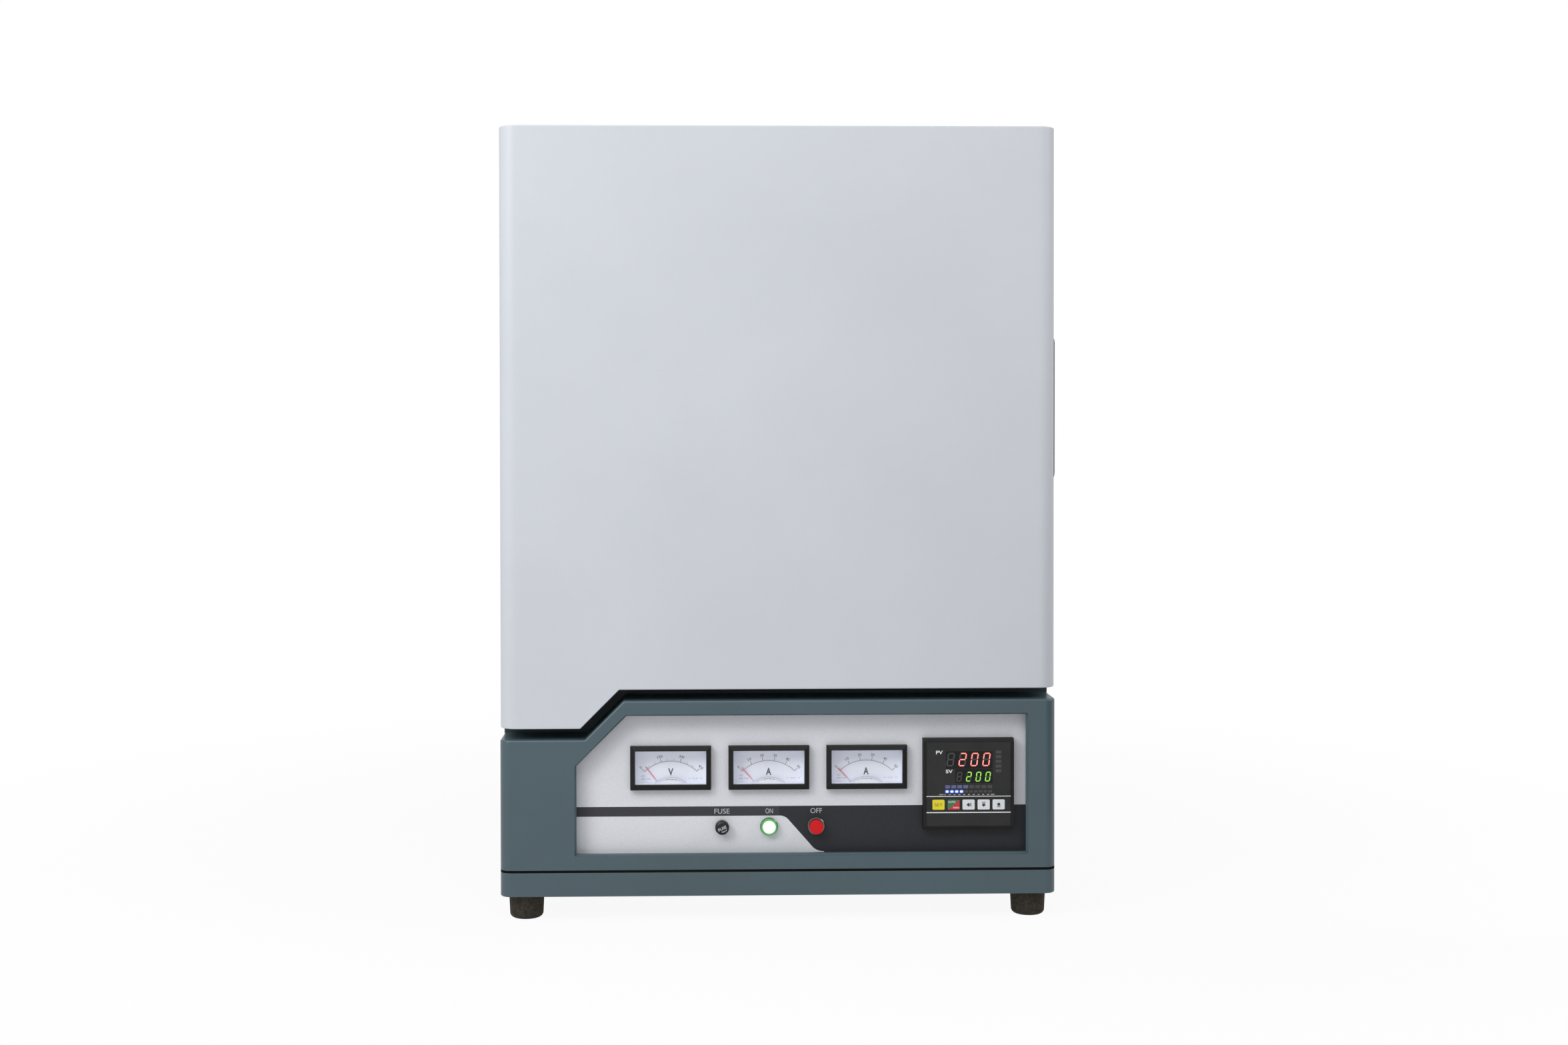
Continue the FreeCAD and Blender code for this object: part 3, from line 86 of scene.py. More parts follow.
door_low, door_high = corners("door_skin")
print("door:", np.round(door_high - door_low, 1), "mm")

# %% [markdown]
# ## Shapes from arrays
# A smooth shape is a grid of points: rows run one way and columns the other, and each face
# joins four neighbours. Numpy works out the whole grid at once. Round parts are a profile
# turned about an axis, and bars and wires are a small circle carried along a path.


# %% Grids and how they become a mesh
def grid(points, closed=False):
    """Points and faces of a grid (rows, columns, 3). A closed one joins its last column to its first."""
    rows, columns = points.shape[:2]
    index = np.arange(rows * columns).reshape(rows, columns)
    if closed:
        index = np.concatenate([index, index[:, :1]], axis=1)
    faces = np.stack([index[:-1, :-1], index[:-1, 1:], index[1:, 1:], index[1:, :-1]], axis=-1)
    return points.reshape(-1, 3), faces.reshape(-1, 4)


def new_object(name, data):
    """An object that holds a mesh, lamp or camera, linked into the scene."""
    made = bpy.data.objects.new(name, data)
    bpy.context.scene.collection.objects.link(made)
    return made


def make_piece(name, shapes, finish, node, replaces=(), closed=True, crease=35):
    """A mesh object from shapes in millimetres, each a pair of points and faces.

    Points that meet are merged, a closed shape's faces are turned outwards, and edges sharper
    than the crease angle stay sharp. The piece rides on its node's body and takes its slot."""
    points, faces, start = [], [], 0
    for shape_points, shape_faces in shapes:
        points.append(np.asarray(shape_points, float))
        faces.extend([[int(i) + start for i in face] for face in shape_faces])
        start += len(shape_points)
    mesh = bpy.data.meshes.new(name)
    mesh.from_pydata((np.concatenate(points) * mm).tolist(), [], faces)
    work = bmesh.new()
    work.from_mesh(mesh)
    bmesh.ops.remove_doubles(work, verts=work.verts, dist=1e-6)
    if closed:
        bmesh.ops.recalc_face_normals(work, faces=work.faces)
    work.to_mesh(mesh)
    work.free()
    mesh.shade_smooth()
    mesh.set_sharp_from_angle(angle=math.radians(crease))
    mesh.materials.append(finish)
    piece = new_object(name, mesh)
    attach(piece, body_of[node])
    if replaces:
        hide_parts(*replaces)
    return piece


def turned(profile, centre, axis="y", sides=64):
    """A profile of (radius, distance along the axis) turned once about an axis through a centre."""
    profile = np.asarray(profile, float)
    angle = np.linspace(0, 2 * math.pi, sides, endpoint=False)
    radius = profile[:, 0:1]
    along = np.broadcast_to(profile[:, 1:2], (len(profile), sides))
    u, v = radius * np.cos(angle), radius * np.sin(angle)
    stack = {"y": (u, along, v), "z": (u, v, along)}[axis]
    return grid(np.stack(stack, axis=-1) + np.array(centre, float), closed=True)


def arc(centre, radius, start, end, steps=8):
    """Points of a flat arc, from a start to an end angle in degrees."""
    angle = np.radians(np.linspace(start, end, steps))
    return np.stack([centre[0] + radius * np.cos(angle), centre[1] + radius * np.sin(angle)], axis=-1)


print("shape helpers ready")

# %% [markdown]
# ## Shader nodes
# A material is a small network of nodes. One function fills or links a node's inputs, and
# one adds a node of any kind, so that each finish below reads as a short list. Colours are
# written as on a paint card, as sRGB hex, and made linear in one place.


# %% Colours and nodes
def linear(code):
    """A hex colour as linear red, green, blue and alpha: each channel follows the sRGB curve."""
    channels = np.array([int(code[i : i + 2], 16) for i in (1, 3, 5)]) / 255
    curve = np.where(channels <= 0.04045, channels / 12.92, ((channels + 0.055) / 1.055) ** 2.4)
    return (*curve.tolist(), 1.0)


def connect(node, **inputs):
    """Fills or links inputs, named with _ for a space, or i and a number. A node gives its first output."""
    for name, value in inputs.items():
        key = int(name[1:]) if name[1:].isdigit() else name.replace("_", " ")
        if isinstance(value, bpy.types.Node):
            value = value.outputs[0]
        if isinstance(value, bpy.types.NodeSocket):
            node.id_data.links.new(value, node.inputs[key])
        else:
            node.inputs[key].default_value = value


def add(tree, kind, settings=None, **inputs):
    """Adds a shader node. Settings are its properties."""
    made = tree.nodes.new("ShaderNode" + kind)
    for name, value in (settings or {}).items():
        setattr(made, name, value)
    connect(made, **inputs)
    return made


def new_tree(owner):
    """The empty node tree of a material or world."""
    owner.use_nodes = True
    owner.node_tree.nodes.clear()
    return owner.node_tree


def new_finish(name, pale, deep, target="Base_Color", **inputs):
    """A material whose one shader takes a mix of two colours, with the mix and the object coordinates."""
    finish = bpy.data.materials.new(name)
    tree = new_tree(finish)
    shader = add(tree, "BsdfPrincipled", **inputs)
    add(tree, "OutputMaterial", Surface=shader)
    paint = add(tree, "Mix", {"data_type": "RGBA"}, i6=linear(deep), i7=linear(pale))
    connect(shader, **{target: paint.outputs[2]})
    return finish, tree, shader, paint, add(tree, "TexCoord").outputs["Object"]


print("node helpers ready")

# %% [markdown]
# ## Powder coat
# The sheet metal is sprayed with polyester powder and baked. The powder flows together to a
# satin film with a fine orange peel, about a millimetre from crest to crest. Its colour is
# even, with a faint cloudiness. The peel is drawn with a bump, the cloud with a slow noise.


# %% Powder coats
def powder_coat(name, pale, deep, roughness, peel=1.8, relief=0.035, coat=0.0, specular=0.5):
    """Baked polyester powder: a slow noise blends two close colours, a fine one gives the orange peel."""
    gloss_inputs = {"Coat_Weight": coat, "Coat_Roughness": 0.22, "Specular_IOR_Level": specular}
    finish, tree, shader, paint, place = new_finish(name, pale, deep, IOR=1.5, **gloss_inputs)
    cloud = add(tree, "TexNoise", Vector=place, Scale=1 / (140 * mm), Detail=3.0)
    grain = add(tree, "TexNoise", Vector=place, Scale=1 / (1.1 * mm), Detail=1.0)
    blend = add(tree, "Math", {"operation": "MULTIPLY_ADD"}, i0=grain, i1=0.35, i2=cloud)
    connect(paint, i0=add(tree, "MapRange", Value=blend, From_Min=0.45, From_Max=0.9))
    skin = add(tree, "TexNoise", Vector=place, Scale=1 / (peel * mm), Detail=2.0)
    bump = add(tree, "Bump", Strength=0.5, Distance=relief * mm, Height=skin)
    gloss = add(tree, "MapRange", Value=cloud, To_Min=roughness - 0.04, To_Max=roughness + 0.05)
    connect(shader, Roughness=gloss, Normal=bump)
    return finish


pale_coat = powder_coat("pale_grey_powder_coat", "#cfd3d8", "#cbcfd4", 0.42)
cabinet_coat = powder_coat("cabinet_powder_coat", "#cbced2", "#c8cbcf", 0.6, specular=0.22)
teal_look = {"peel": 1.4, "relief": 0.05}
teal_coat = powder_coat("teal_powder_coat", "#41575e", "#3c5057", 0.48, coat=0.4, **teal_look)
# The front frame's darker teal is partly its own paint and partly painted shade for the gap under the door.
gap_shaded_frame_coat = powder_coat("teal_powder_coat_deepened_for_gap_shade", "#2c3a3f", "#283539", 0.5, **teal_look)
print("coats:", pale_coat.name, cabinet_coat.name, teal_coat.name)

# %% [markdown]
# ## Metals
# Hidden sheet is zinc plated: a blue-grey metal whose crystals give slightly different
# gloss from patch to patch. Drawn and ground parts have fine lines along one direction.
# The chrome of the bezels is the smoothest; its colour is darkened as a painted reflection of
# the dark panel and room around it. All of them are fully metallic and keep the default IOR.


# %% Metals
def plated(name, pale, deep, roughness, crystal=7.0):
    """Zinc plated sheet: cells of a Voronoi pattern shift the colour and gloss a little."""
    finish, tree, shader, paint, place = new_finish(name, pale, deep, Metallic=1.0)
    cell = add(tree, "TexVoronoi", Vector=place, Scale=1 / (crystal * mm))
    value = add(tree, "SeparateColor", Color=cell.outputs["Color"])
    connect(paint, i0=value)
    shift = {"To_Min": roughness - 0.06, "To_Max": roughness + 0.08}
    connect(shader, Roughness=add(tree, "MapRange", Value=value.outputs[1], **shift))
    return finish


def brushed(name, pale, deep, roughness, along=(40, 40, 1)):
    """Drawn or ground metal: a noise stretched along one axis gives fine lines in colour and height."""
    finish, tree, shader, paint, place = new_finish(name, pale, deep, Metallic=1.0, Roughness=roughness)
    stretch = add(tree, "Mapping", Vector=place, Scale=along)
    line = add(tree, "TexNoise", Vector=stretch, Scale=1 / (20 * mm), Detail=3.0)
    connect(paint, i0=line)
    connect(shader, Normal=add(tree, "Bump", Strength=0.3, Distance=0.02 * mm, Height=line))
    return finish


zinc = plated("zinc_plated_sheet", "#bfc3c7", "#b0b4b8", 0.38)
drawn_steel = brushed("drawn_bright_steel", "#cfd0d1", "#a8a9ab", 0.3)
# Bezel chrome with darkened colours: a painted reflection of the dark panel and room.
chrome = brushed("chrome_bezel_painted_dark_reflection", "#77787a", "#5c5d5f", 0.2, along=(6, 6, 6))
aluminium = brushed("extruded_aluminium", "#c9cbcd", "#aeb0b3", 0.38, along=(40, 1, 40))
print("metals:", zinc.name, drawn_steel.name, chrome.name, aluminium.name)

# %% [markdown]
# ## Plastics and rubber
# The meters, controller and knobs are moulded. A spark-eroded mould leaves a fine matt
# grain, and a polished mould leaves gloss. The grain is about a quarter of a millimetre in
# the real mould, and is drawn a little coarser so that it shows. Old rubber feet look dusty.


# %% Moulded plastics
def moulded(name, pale, deep, roughness, grain=0.5, relief=0.02, specular=0.5):
    """Moulded plastic: a fine noise is the mould's grain, in height, colour and gloss."""
    finish, tree, shader, paint, place = new_finish(name, pale, deep, IOR=1.5, Specular_IOR_Level=specular)
    pits = add(tree, "TexNoise", Vector=place, Scale=1 / (grain * mm), Detail=2.0)
    handled = add(tree, "TexNoise", Vector=place, Scale=1 / (22 * mm), Detail=3.0)
    mixed = add(tree, "Math", {"operation": "MULTIPLY"}, i0=pits, i1=handled)
    connect(paint, i0=add(tree, "MapRange", Value=mixed, From_Min=0.12, From_Max=0.4))
    bump = add(tree, "Bump", Strength=0.6, Distance=relief * mm, Height=pits)
    gloss = add(tree, "MapRange", Value=handled, To_Min=roughness - 0.05, To_Max=roughness + 0.06)
    connect(shader, Roughness=gloss, Normal=bump)
    return finish


black_abs = moulded("black_moulded_abs", "#1f1f1f", "#161617", 0.55, specular=0.22)
knob_black = moulded("black_phenolic", "#232324", "#171718", 0.35, specular=0.3)
foil_look = {"grain": 0.3, "relief": 0.008, "specular": 0.22}
dark_foil = moulded("dark_polyester_foil", "#313131", "#292929", 0.4, **foil_look)
cover_white = moulded("white_moulded_cover", "#eceffa", "#e3e7f3", 0.4)
dial_paint = moulded("dial_enamel", "#f6f8ff", "#eff2fd", 0.55, relief=0.006)
off_red = moulded("red_polycarbonate", "#e0181e", "#cf1218", 0.4, specular=0.25)
key_yellow = moulded("yellow_key_pad", "#f1e22e", "#e6d524", 0.42)
key_white = moulded("white_key_pad", "#eceef0", "#dfe1e4", 0.42)
key_green = moulded("green_key_pad", "#3a7a55", "#32694a", 0.42)
key_red = moulded("red_key_pad", "#cf3436", "#bd2a2c", 0.42)
# Black for the seam strip: painted shade standing in for the shadow in the seam under the console.
seam_shadow_black = moulded("painted_seam_shadow_strip", "#121212", "#0a0a0a", 0.9, specular=0.1)
rubber = moulded("dusty_rubber", "#474036", "#26231e", 0.8, grain=3.5, relief=0.08, specular=0.25)
print("plastics:", black_abs.name, knob_black.name, rubber.name)

# %% [markdown]
# ## Films and inks
# The panel behind the window wears a printed film, silver grey with a sparkle like fine
# sand, and an anthracite area printed over it. Inks on dials and keys are opaque and matt.
# Each print is a thin flat mesh just in front of what carries it, so it exports with the
# part. The needles are lacquered: a red tip on a pale stem.


# %% Films and inks
def ink(name, code, roughness, fleck, amount=0.4, specular=0.5):
    """Printed ink or film: its colour, with flecks of a second colour where a fine noise is high."""
    inputs = {"IOR": 1.5, "Roughness": roughness, "Specular_IOR_Level": specular}
    finish, tree, _, paint, place = new_finish(name, fleck, code, **inputs)
    sand = add(tree, "TexNoise", Vector=place, Scale=1 / (0.9 * mm), Detail=2.0)
    connect(paint, i0=add(tree, "MapRange", Value=sand, From_Min=0.42, From_Max=0.62, To_Max=amount))
    return finish


def two_tone(name, tip, root, change_z, blend=2.0):
    """Lacquer in two colours: the tip's above a height in millimetres and the root's below it."""
    finish, tree, _, paint, place = new_finish(name, tip, root, IOR=1.5, Roughness=0.5)
    ends = {"From_Min": (change_z - blend / 2) * mm, "From_Max": (change_z + blend / 2) * mm}
    height = add(tree, "SeparateXYZ", i0=place).outputs["Z"]
    connect(paint, i0=add(tree, "MapRange", Value=height, **ends))
    return finish


silver_film = ink("silver_grey_film", "#e4e5e9", 0.45, "#cecfd4", 0.6)
anthracite_ink = ink("anthracite_ink", "#303135", 0.55, "#232427", 0.6, specular=0.25)
# The bar's ink is a lighter copy of the anthracite ink: painted glare on the bar.
anthracite_ink_painted_glare = ink("anthracite_ink_painted_glare", "#3e3e42", 0.55, "#303034", 0.6, specular=0.3)
label_ink = ink("label_ink", "#c9cbd0", 0.5, "#b5b7bb")
dial_ink = ink("dial_ink", "#3c3f48", 0.6, "#4c4f58", 0.5)
faint_ink = ink("faint_dial_ink", "#8f929e", 0.6, "#a0a3ae", 0.5)
white_ink = ink("white_ink", "#f2f3f4", 0.5, "#dfe0e2")
key_ink = ink("key_legend_ink", "#26262a", 0.5, "#36363a")
set_ink = ink("set_legend_ink", "#6b6420", 0.5, "#7d7628")
unlit_segment = ink("unlit_segment", "#4b4a4a", 0.45, "#535252", specular=0.2)
display_glass = ink("display_glass", "#161617", 0.4, "#1c1c1d", specular=0.2)
needle_red = two_tone("red_tipped_needle", "#e2616c", "#c3c5d2", 146.0)
print("inks:", silver_film.name, anthracite_ink.name)

# %% [markdown]
# ## Lights in the panel
# Segments and pilot lamps glow by themselves, so they get an emission colour. The strength
# stays near 1, which is the brightest a screen shows, and the colour does the rest.


# %% Glowing parts
def glowing(name, code, strength=1.0):
    """A lit lamp: a dark body that gives off its own colour, a little uneven like a diffuser."""
    inputs = {"Base_Color": linear("#0a0a0a"), "Roughness": 0.5, "Emission_Strength": strength}
    finish, tree, _, paint, place = new_finish(name, "#ffffff", code, "Emission_Color", **inputs)
    cloud = add(tree, "TexNoise", Vector=place, Scale=1 / (1.5 * mm), Detail=1.0)
    connect(paint, i0=add(tree, "MapRange", Value=cloud, To_Min=0.0, To_Max=0.12))
    return finish


red_segment = glowing("red_segment", "#ff2a2e")
red_core = glowing("red_segment_core", "#ffcfb4")
green_segment = glowing("green_segment", "#93ec2c")
blue_lamp = glowing("blue_bar_lamp", "#1f5dff")
blue_core = glowing("blue_bar_core", "#e8f0ff", 1.1)
blue_dim = glowing("blue_dim_legend", "#3f4784", 0.8)
on_diffuser = glowing("on_diffuser", "#fafff7")
on_green = glowing("on_green_ring", "#23b83a", 0.8)
print("lamps:", red_segment.name, green_segment.name, blue_lamp.name)

# %% [markdown]
# ## Fibre, ceramic and heating wire
# The chamber is lined with vacuum-formed ceramic fibre: white, matt and slightly fuzzy, with
# a mat of short fibres on its face. The hearth plate is pressed cordierite with dark specks.
# The heating wire is an iron alloy that oxidises to a dull brown grey in its first firing.
# The panes of the meters are clear acrylic with a faint haze.


# %% Furnace linings
def fibre_board(name, pale, deep, strand=2.2):
    """Ceramic fibre board: noise warped by noise gives a felted mat, a slow noise its stains."""
    finish, tree, shader, paint, place = new_finish(name, pale, deep, Roughness=0.92)
    felt = add(tree, "TexNoise", Vector=place, Scale=1 / (strand * mm), Detail=4.0, Distortion=1.6)
    connect(paint, i0=add(tree, "TexNoise", Vector=place, Scale=1 / (90 * mm), Detail=3.0))
    connect(shader, Normal=add(tree, "Bump", Strength=0.7, Distance=0.25 * mm, Height=felt))
    return finish


def clear_pane(name, code):
    """Clear acrylic: almost no body, and a gloss dulled a little by a slow noise, its haze."""
    finish = bpy.data.materials.new(name)
    tree = new_tree(finish)
    place = add(tree, "TexCoord").outputs["Object"]
    dust = add(tree, "TexNoise", Vector=place, Scale=1 / (9 * mm), Detail=4.0)
    haze = add(tree, "MapRange", Value=dust, To_Min=0.03, To_Max=0.12)
    shader = add(tree, "BsdfPrincipled", Base_Color=linear(code), Roughness=haze, IOR=1.49, Alpha=0.04)
    add(tree, "OutputMaterial", Surface=shader)
    return finish


fibre_white = fibre_board("ceramic_fibre_board", "#f0ede6", "#dcd7cb")
rope_white = fibre_board("glass_fibre_rope", "#e9e5da", "#c9c3b4", strand=1.2)
cordierite = moulded("pressed_cordierite", "#dccdb0", "#b8a583", 0.85, grain=1.6, relief=0.1)
alloy_look = {"grain": 0.8, "relief": 0.05}
oxidised_alloy = moulded("oxidised_heating_alloy", "#6f665d", "#3f3935", 0.7, **alloy_look)
acrylic = clear_pane("clear_acrylic", "#f4f7fa")
print("linings:", fibre_white.name, cordierite.name, oxidised_alloy.name)

# %% [markdown]
# ## Giving every part a finish
# Most parts have the right shape already and only need a finish. A table by material slot
# does that for all of them at once, and a few parts that share a slot are set on their own.

# %% Finishes by slot
finish_of_slot = {
    "door_paint": pale_coat,
    "cabinet_paint": cabinet_coat,
    "console_paint": teal_coat,
    "plated_steel": zinc,
    "panel_film": silver_film,
    "black_plastic": black_abs,
    "dark_face": dark_foil,
    "dial_white": dial_paint,
    "cover_white": cover_white,
    "clear_glass": acrylic,
    "needle": needle_red,
    # bezel chrome, darkened as a painted reflection of the dark surroundings
    "chromed": chrome,
    "on_lens": green_segment,
    "off_red": off_red,
    "key_yellow": key_yellow,
    "key_green": key_green,
    "key_white": key_white,
    "fibre_board": fibre_white,
    "gasket_rope": rope_white,
    "hearth_ceramic": cordierite,
    "heating_alloy": oxidised_alloy,
    "heat_sink": aluminium,
    "feet_rubber": rubber,
}
finish_of_part = {
    # front frame: darker teal, partly painted shade for the gap under the door
    "front_frame": gap_shaded_frame_coat,
    "door_handle": black_abs,
    "exhaust_tube": drawn_steel,
    "hinge_pins": drawn_steel,
}
for node, part in frame["nodes"].items():
    finish = finish_of_part.get(node, finish_of_slot[slot_of[node]])
    part.material_slots[0].material = finish
print("finished parts:", len(frame["nodes"]))

# %% [markdown]
# ## The camera
# The photograph looks almost square at the front from about two metres, a little left of the
# middle, with a slightly long lens. Lens, place and turn were fitted to known corners. The
# small shift stands for the photograph's crop, since its optical axis isn't in the middle.

# %% Camera
image_width = 2352
focal_px = 2891.8
axis_offset_px = (-58.4, -97.7)
camera_place = Vector((-85.06, -2363.76, 512.64)) * mm
yaw, pitch, roll = 0.0249, 0.0134, -0.0015
ahead = Vector((math.sin(yaw) * math.cos(pitch), math.cos(yaw) * math.cos(pitch), -math.sin(pitch)))
level_right = Vector((math.cos(yaw), -math.sin(yaw), 0))
level_up = level_right.cross(ahead)
right = level_right * math.cos(roll) + level_up * math.sin(roll)
up = level_up * math.cos(roll) - level_right * math.sin(roll)
lens = bpy.data.cameras.new("camera")
lens.sensor_width = 36
lens.lens = focal_px / image_width * lens.sensor_width
lens.shift_x = -axis_offset_px[0] / image_width
lens.shift_y = axis_offset_px[1] / image_width
camera = new_object("camera", lens)
turn = Matrix((right, up, -ahead)).transposed()
camera.matrix_world = Matrix.Translation(camera_place) @ turn.to_4x4()
bpy.context.scene.camera = camera
print("lens", round(lens.lens, 2), "mm")

# %% [markdown]
# ## Studio
# The furnace stands on a white floor before a white wall. Where the camera, a gloss or a
# clear part looks at them they are plain white, so the background is white whatever the
# lamps do. The floor still mixes in some of its lit colour near the furnace, which keeps
# its shadow. Two tall soft boxes stand left and right of the camera, and a wide one above.
# A black card out of the camera's sight takes some light off the lower right.


# %% White world and floor
gloss_share = 0.7
ambient = 0.47
reach = 12.0
plain_white = (1, 1, 1, 1)


def seen_directly(tree):
    """1 where the camera or a ray through glass looks, somewhat less for a gloss, else 0."""
    path = add(tree, "LightPath").outputs
    gloss = add(tree, "Math", {"operation": "MULTIPLY"}, i0=path["Is Glossy Ray"], i1=gloss_share)
    clear = add(tree, "Math", {"operation": "MAXIMUM"}, i0=gloss, i1=path["Is Transmission Ray"])
    return add(tree, "Math", {"operation": "MAXIMUM"}, i0=path["Is Camera Ray"], i1=clear)


def staged_quad(name, places, finish):
    """A flat sheet of the studio, with its four corners in metres."""
    mesh = bpy.data.meshes.new(name)
    mesh.from_pydata(places, [], [(0, 1, 2, 3)])
    mesh.materials.append(finish)
    quad = new_object(name, mesh)
    return quad


world = bpy.data.worlds.new("white_studio")
bpy.context.scene.world = world
tree = new_tree(world)
room = add(tree, "Background", Color=linear("#f4f6fa"), Strength=ambient)
wall = add(tree, "Background", Color=plain_white, Strength=1.0)
add(tree, "OutputWorld", Surface=add(tree, "MixShader", i0=seen_directly(tree), i1=room, i2=wall))

floor_paper = bpy.data.materials.new("white_paper_floor")
tree = new_tree(floor_paper)
lit = add(tree, "BsdfDiffuse", Color=linear("#e6e6e6"))
plain = add(tree, "Emission", Color=plain_white, Strength=1.0)
away = add(tree, "VectorMath", {"operation": "LENGTH"}, i0=add(tree, "TexCoord").outputs["Object"])
fade_range = {"From_Min": 0.5, "From_Max": 1.3, "To_Min": 0.93, "To_Max": 1.0}
fade = add(tree, "MapRange", Value=away.outputs["Value"], **fade_range)
share = add(tree, "Math", {"operation": "MULTIPLY"}, i0=fade, i1=seen_directly(tree))
add(tree, "OutputMaterial", Surface=add(tree, "MixShader", i0=share, i1=lit, i2=plain))
floor_corners = [(-reach, -reach, 0), (reach, -reach, 0), (reach, reach, 0), (-reach, reach, 0)]
staged_quad("studio_floor", floor_corners, floor_paper)


# %% Soft boxes and dark card
def soft_box(name, place, target, width, height, power):
    """A rectangular area lamp at a place in metres, turned to a target."""
    lamp = bpy.data.lights.new(name, "AREA")
    lamp.shape = "RECTANGLE"
    lamp.size, lamp.size_y = width, height
    lamp.energy = power
    box = new_object(name, lamp)
    direction = (Vector(target) - Vector(place)).to_track_quat("-Z", "Y")
    box.matrix_world = Matrix.Translation(place) @ direction.to_matrix().to_4x4()


soft_box("left_box", (-1.6, -1.7, 1.7), (-0.1, -0.3, 0.5), 0.9, 1.2, 25)
soft_box("right_box", (2.5, -0.9, 1.8), (0, -0.3, 1.0), 0.9, 1.2, 17)
soft_box("top_box", (-0.3, -1.9, 2.3), (0, -0.2, 0.5), 1.6, 1.0, 16)

card_x, card_near, card_far, card_foot, card_top = 0.8, -1.25, -0.45, 0.001, 0.42
card_foot_line = [(card_x, card_near, card_foot), (card_x, card_far, card_foot)]
card_top_line = [(card_x, card_far, card_top), (card_x, card_near, card_top)]
black_card = bpy.data.materials.new("dark_card")
tree = new_tree(black_card)
add(tree, "OutputMaterial", Surface=add(tree, "BsdfPrincipled", Base_Color=linear("#101010")))
staged_quad("dark_card", card_foot_line + card_top_line, black_card).visible_camera = False
print("studio ready")

# %% [markdown]
# ## The door's shell
# The real door is a pan of 1.5 mm sheet, folded with round upright edges, its lower edge cut
# to a 45 degree step. One surface gives it: the plan of the pan, from the rear left over the
# front to the rear right, is carried up between the stepped lower edge and the top. Rows are
# added where the hinge notches and the hole for the pull begin and end, and the faces inside
# them are left out. A row held close to each bend keeps the smooth shading of the bend off
# the flat sheet. Solidify then gives the sheet its thickness, inwards.

# %% Door shell
sheet = 1.5
edge_radius = 18.0
rim_radius = 1.2
hold = 0.8
step_height = 40.7
step_foot = door_low[0] + 84.24
notch_front = -326.0
notch_reach = 35.0
notch_from_end = 95.0
notch_middles = [door_low[2] + notch_from_end, door_high[2] - notch_from_end]
pull_low, pull_high = corners("door_handle")
pull_middle = (pull_low[2] + pull_high[2]) / 2
pull_hole_half = 66.0
pull_rim = 2.0
pull_hole_y = (pull_low[1] + pull_rim, pull_high[1] - pull_rim)


def lower_edge(x):
    """Height of the door's lower edge: flat, then a 45 degree ramp up, then flat again."""
    return door_low[2] + np.clip(x - step_foot, 0, step_height)


def pan_plan():
    """The door's plan from rear left to rear right: points (x, y) and the outward direction at each."""
    left, right, front, rear = door_low[0], door_high[0], door_low[1], door_high[1]
    centres_x, bend_y = (left + edge_radius, right - edge_radius), front + edge_radius
    left_wall = [(left, y) for y in (rear, notch_front - 1e-3, notch_front, bend_y + 0.5)]
    right_wall = [(right, y) for y in (bend_y + 0.5, *pull_hole_y, rear)]
    left_bend = arc((centres_x[0], bend_y), edge_radius, 180, 270, 15)
    right_bend = arc((centres_x[1], bend_y), edge_radius, 270, 360, 15)
    ramp = np.linspace(step_foot, step_foot + step_height, 9)
    flat_left = np.linspace(centres_x[0] + hold, step_foot, 5)[:-1]
    flat_right = np.linspace(step_foot + step_height, centres_x[1] - hold, 22)[1:]
    face = np.concatenate([flat_left, ramp, flat_right])
    face = np.stack([face, np.full(len(face), front)], axis=-1)
    points = np.concatenate([left_wall, left_bend, face, right_bend, right_wall])
    centre = np.stack([np.clip(points[:, 0], *centres_x), np.maximum(points[:, 1], bend_y)], axis=-1)
    outward = points - centre
    return points, outward / np.linalg.norm(outward, axis=1, keepdims=True)


def row_shares(low, high):
    """Where the wall's rows lie between its lower and upper rim: even ones, and one at each mark."""
    first, last = high[0] - low[0], high[-1] - low[-1]
    shares = [(z + side * notch_reach - low[0]) / first for z in notch_middles for side in (-1, 1)]
    shares += [(pull_middle + side * pull_hole_half - low[-1]) / last for side in (-1, 1)]
    shares += [hold / first, 1 - hold / first]
    return np.sort(np.concatenate([np.linspace(0, 1, 13), shares]))[:, None]


def is_sheet(middle):
    """False for the faces in the hinge notches on the left and in the pull's hole on the right."""
    x, y, z = middle.T
    in_notch = np.any([np.abs(z - notch) < notch_reach for notch in notch_middles], axis=0)
    in_pull = (np.abs(z - pull_middle) < pull_hole_half) & (y > pull_hole_y[0]) & (y < pull_hole_y[1])
    on_left = (x < door_low[0] + 0.1) & (y > notch_front)
    return ~(on_left & in_notch) & ~((x > door_high[0] - 2) & in_pull)


def door_surface():
    """The pan: its plan raised from the lower edge to the top, with a rolled rim and plate at each end."""
    plan, outward = pan_plan()
    low = lower_edge(plan[:, 0]) + rim_radius
    high = np.full(len(plan), door_high[2] - rim_radius)
    shares = row_shares(low, high)
    heights = low + shares * (high - low)
    wall = np.concatenate([np.broadcast_to(plan, (len(shares), *plan.shape)), heights[..., None]], axis=-1)
    turn = np.radians(np.linspace(0, 90, 6))[1:, None]
    inward = plan - rim_radius * (1 - np.cos(turn))[..., None] * outward
    top_rim = np.concatenate([inward, (high + rim_radius * np.sin(turn))[..., None]], axis=-1)
    low_rim = np.concatenate([inward, (low - rim_radius * np.sin(turn))[..., None]], axis=-1)[::-1]
    held = inward[-1] - hold * outward
    rear = np.stack([held[:, 0], np.full(len(plan), door_high[1])], axis=-1)
    top_plate = np.stack([np.insert(flat, 2, top_rim[-1, :, 2], axis=1) for flat in (held, rear)])
    low_plate = np.stack([np.insert(flat, 2, low_rim[0, :, 2], axis=1) for flat in (rear, held)])
    points, faces = grid(np.concatenate([low_plate, low_rim, wall, top_rim, top_plate]))
    return points, faces[is_sheet(points[faces].mean(axis=1))]


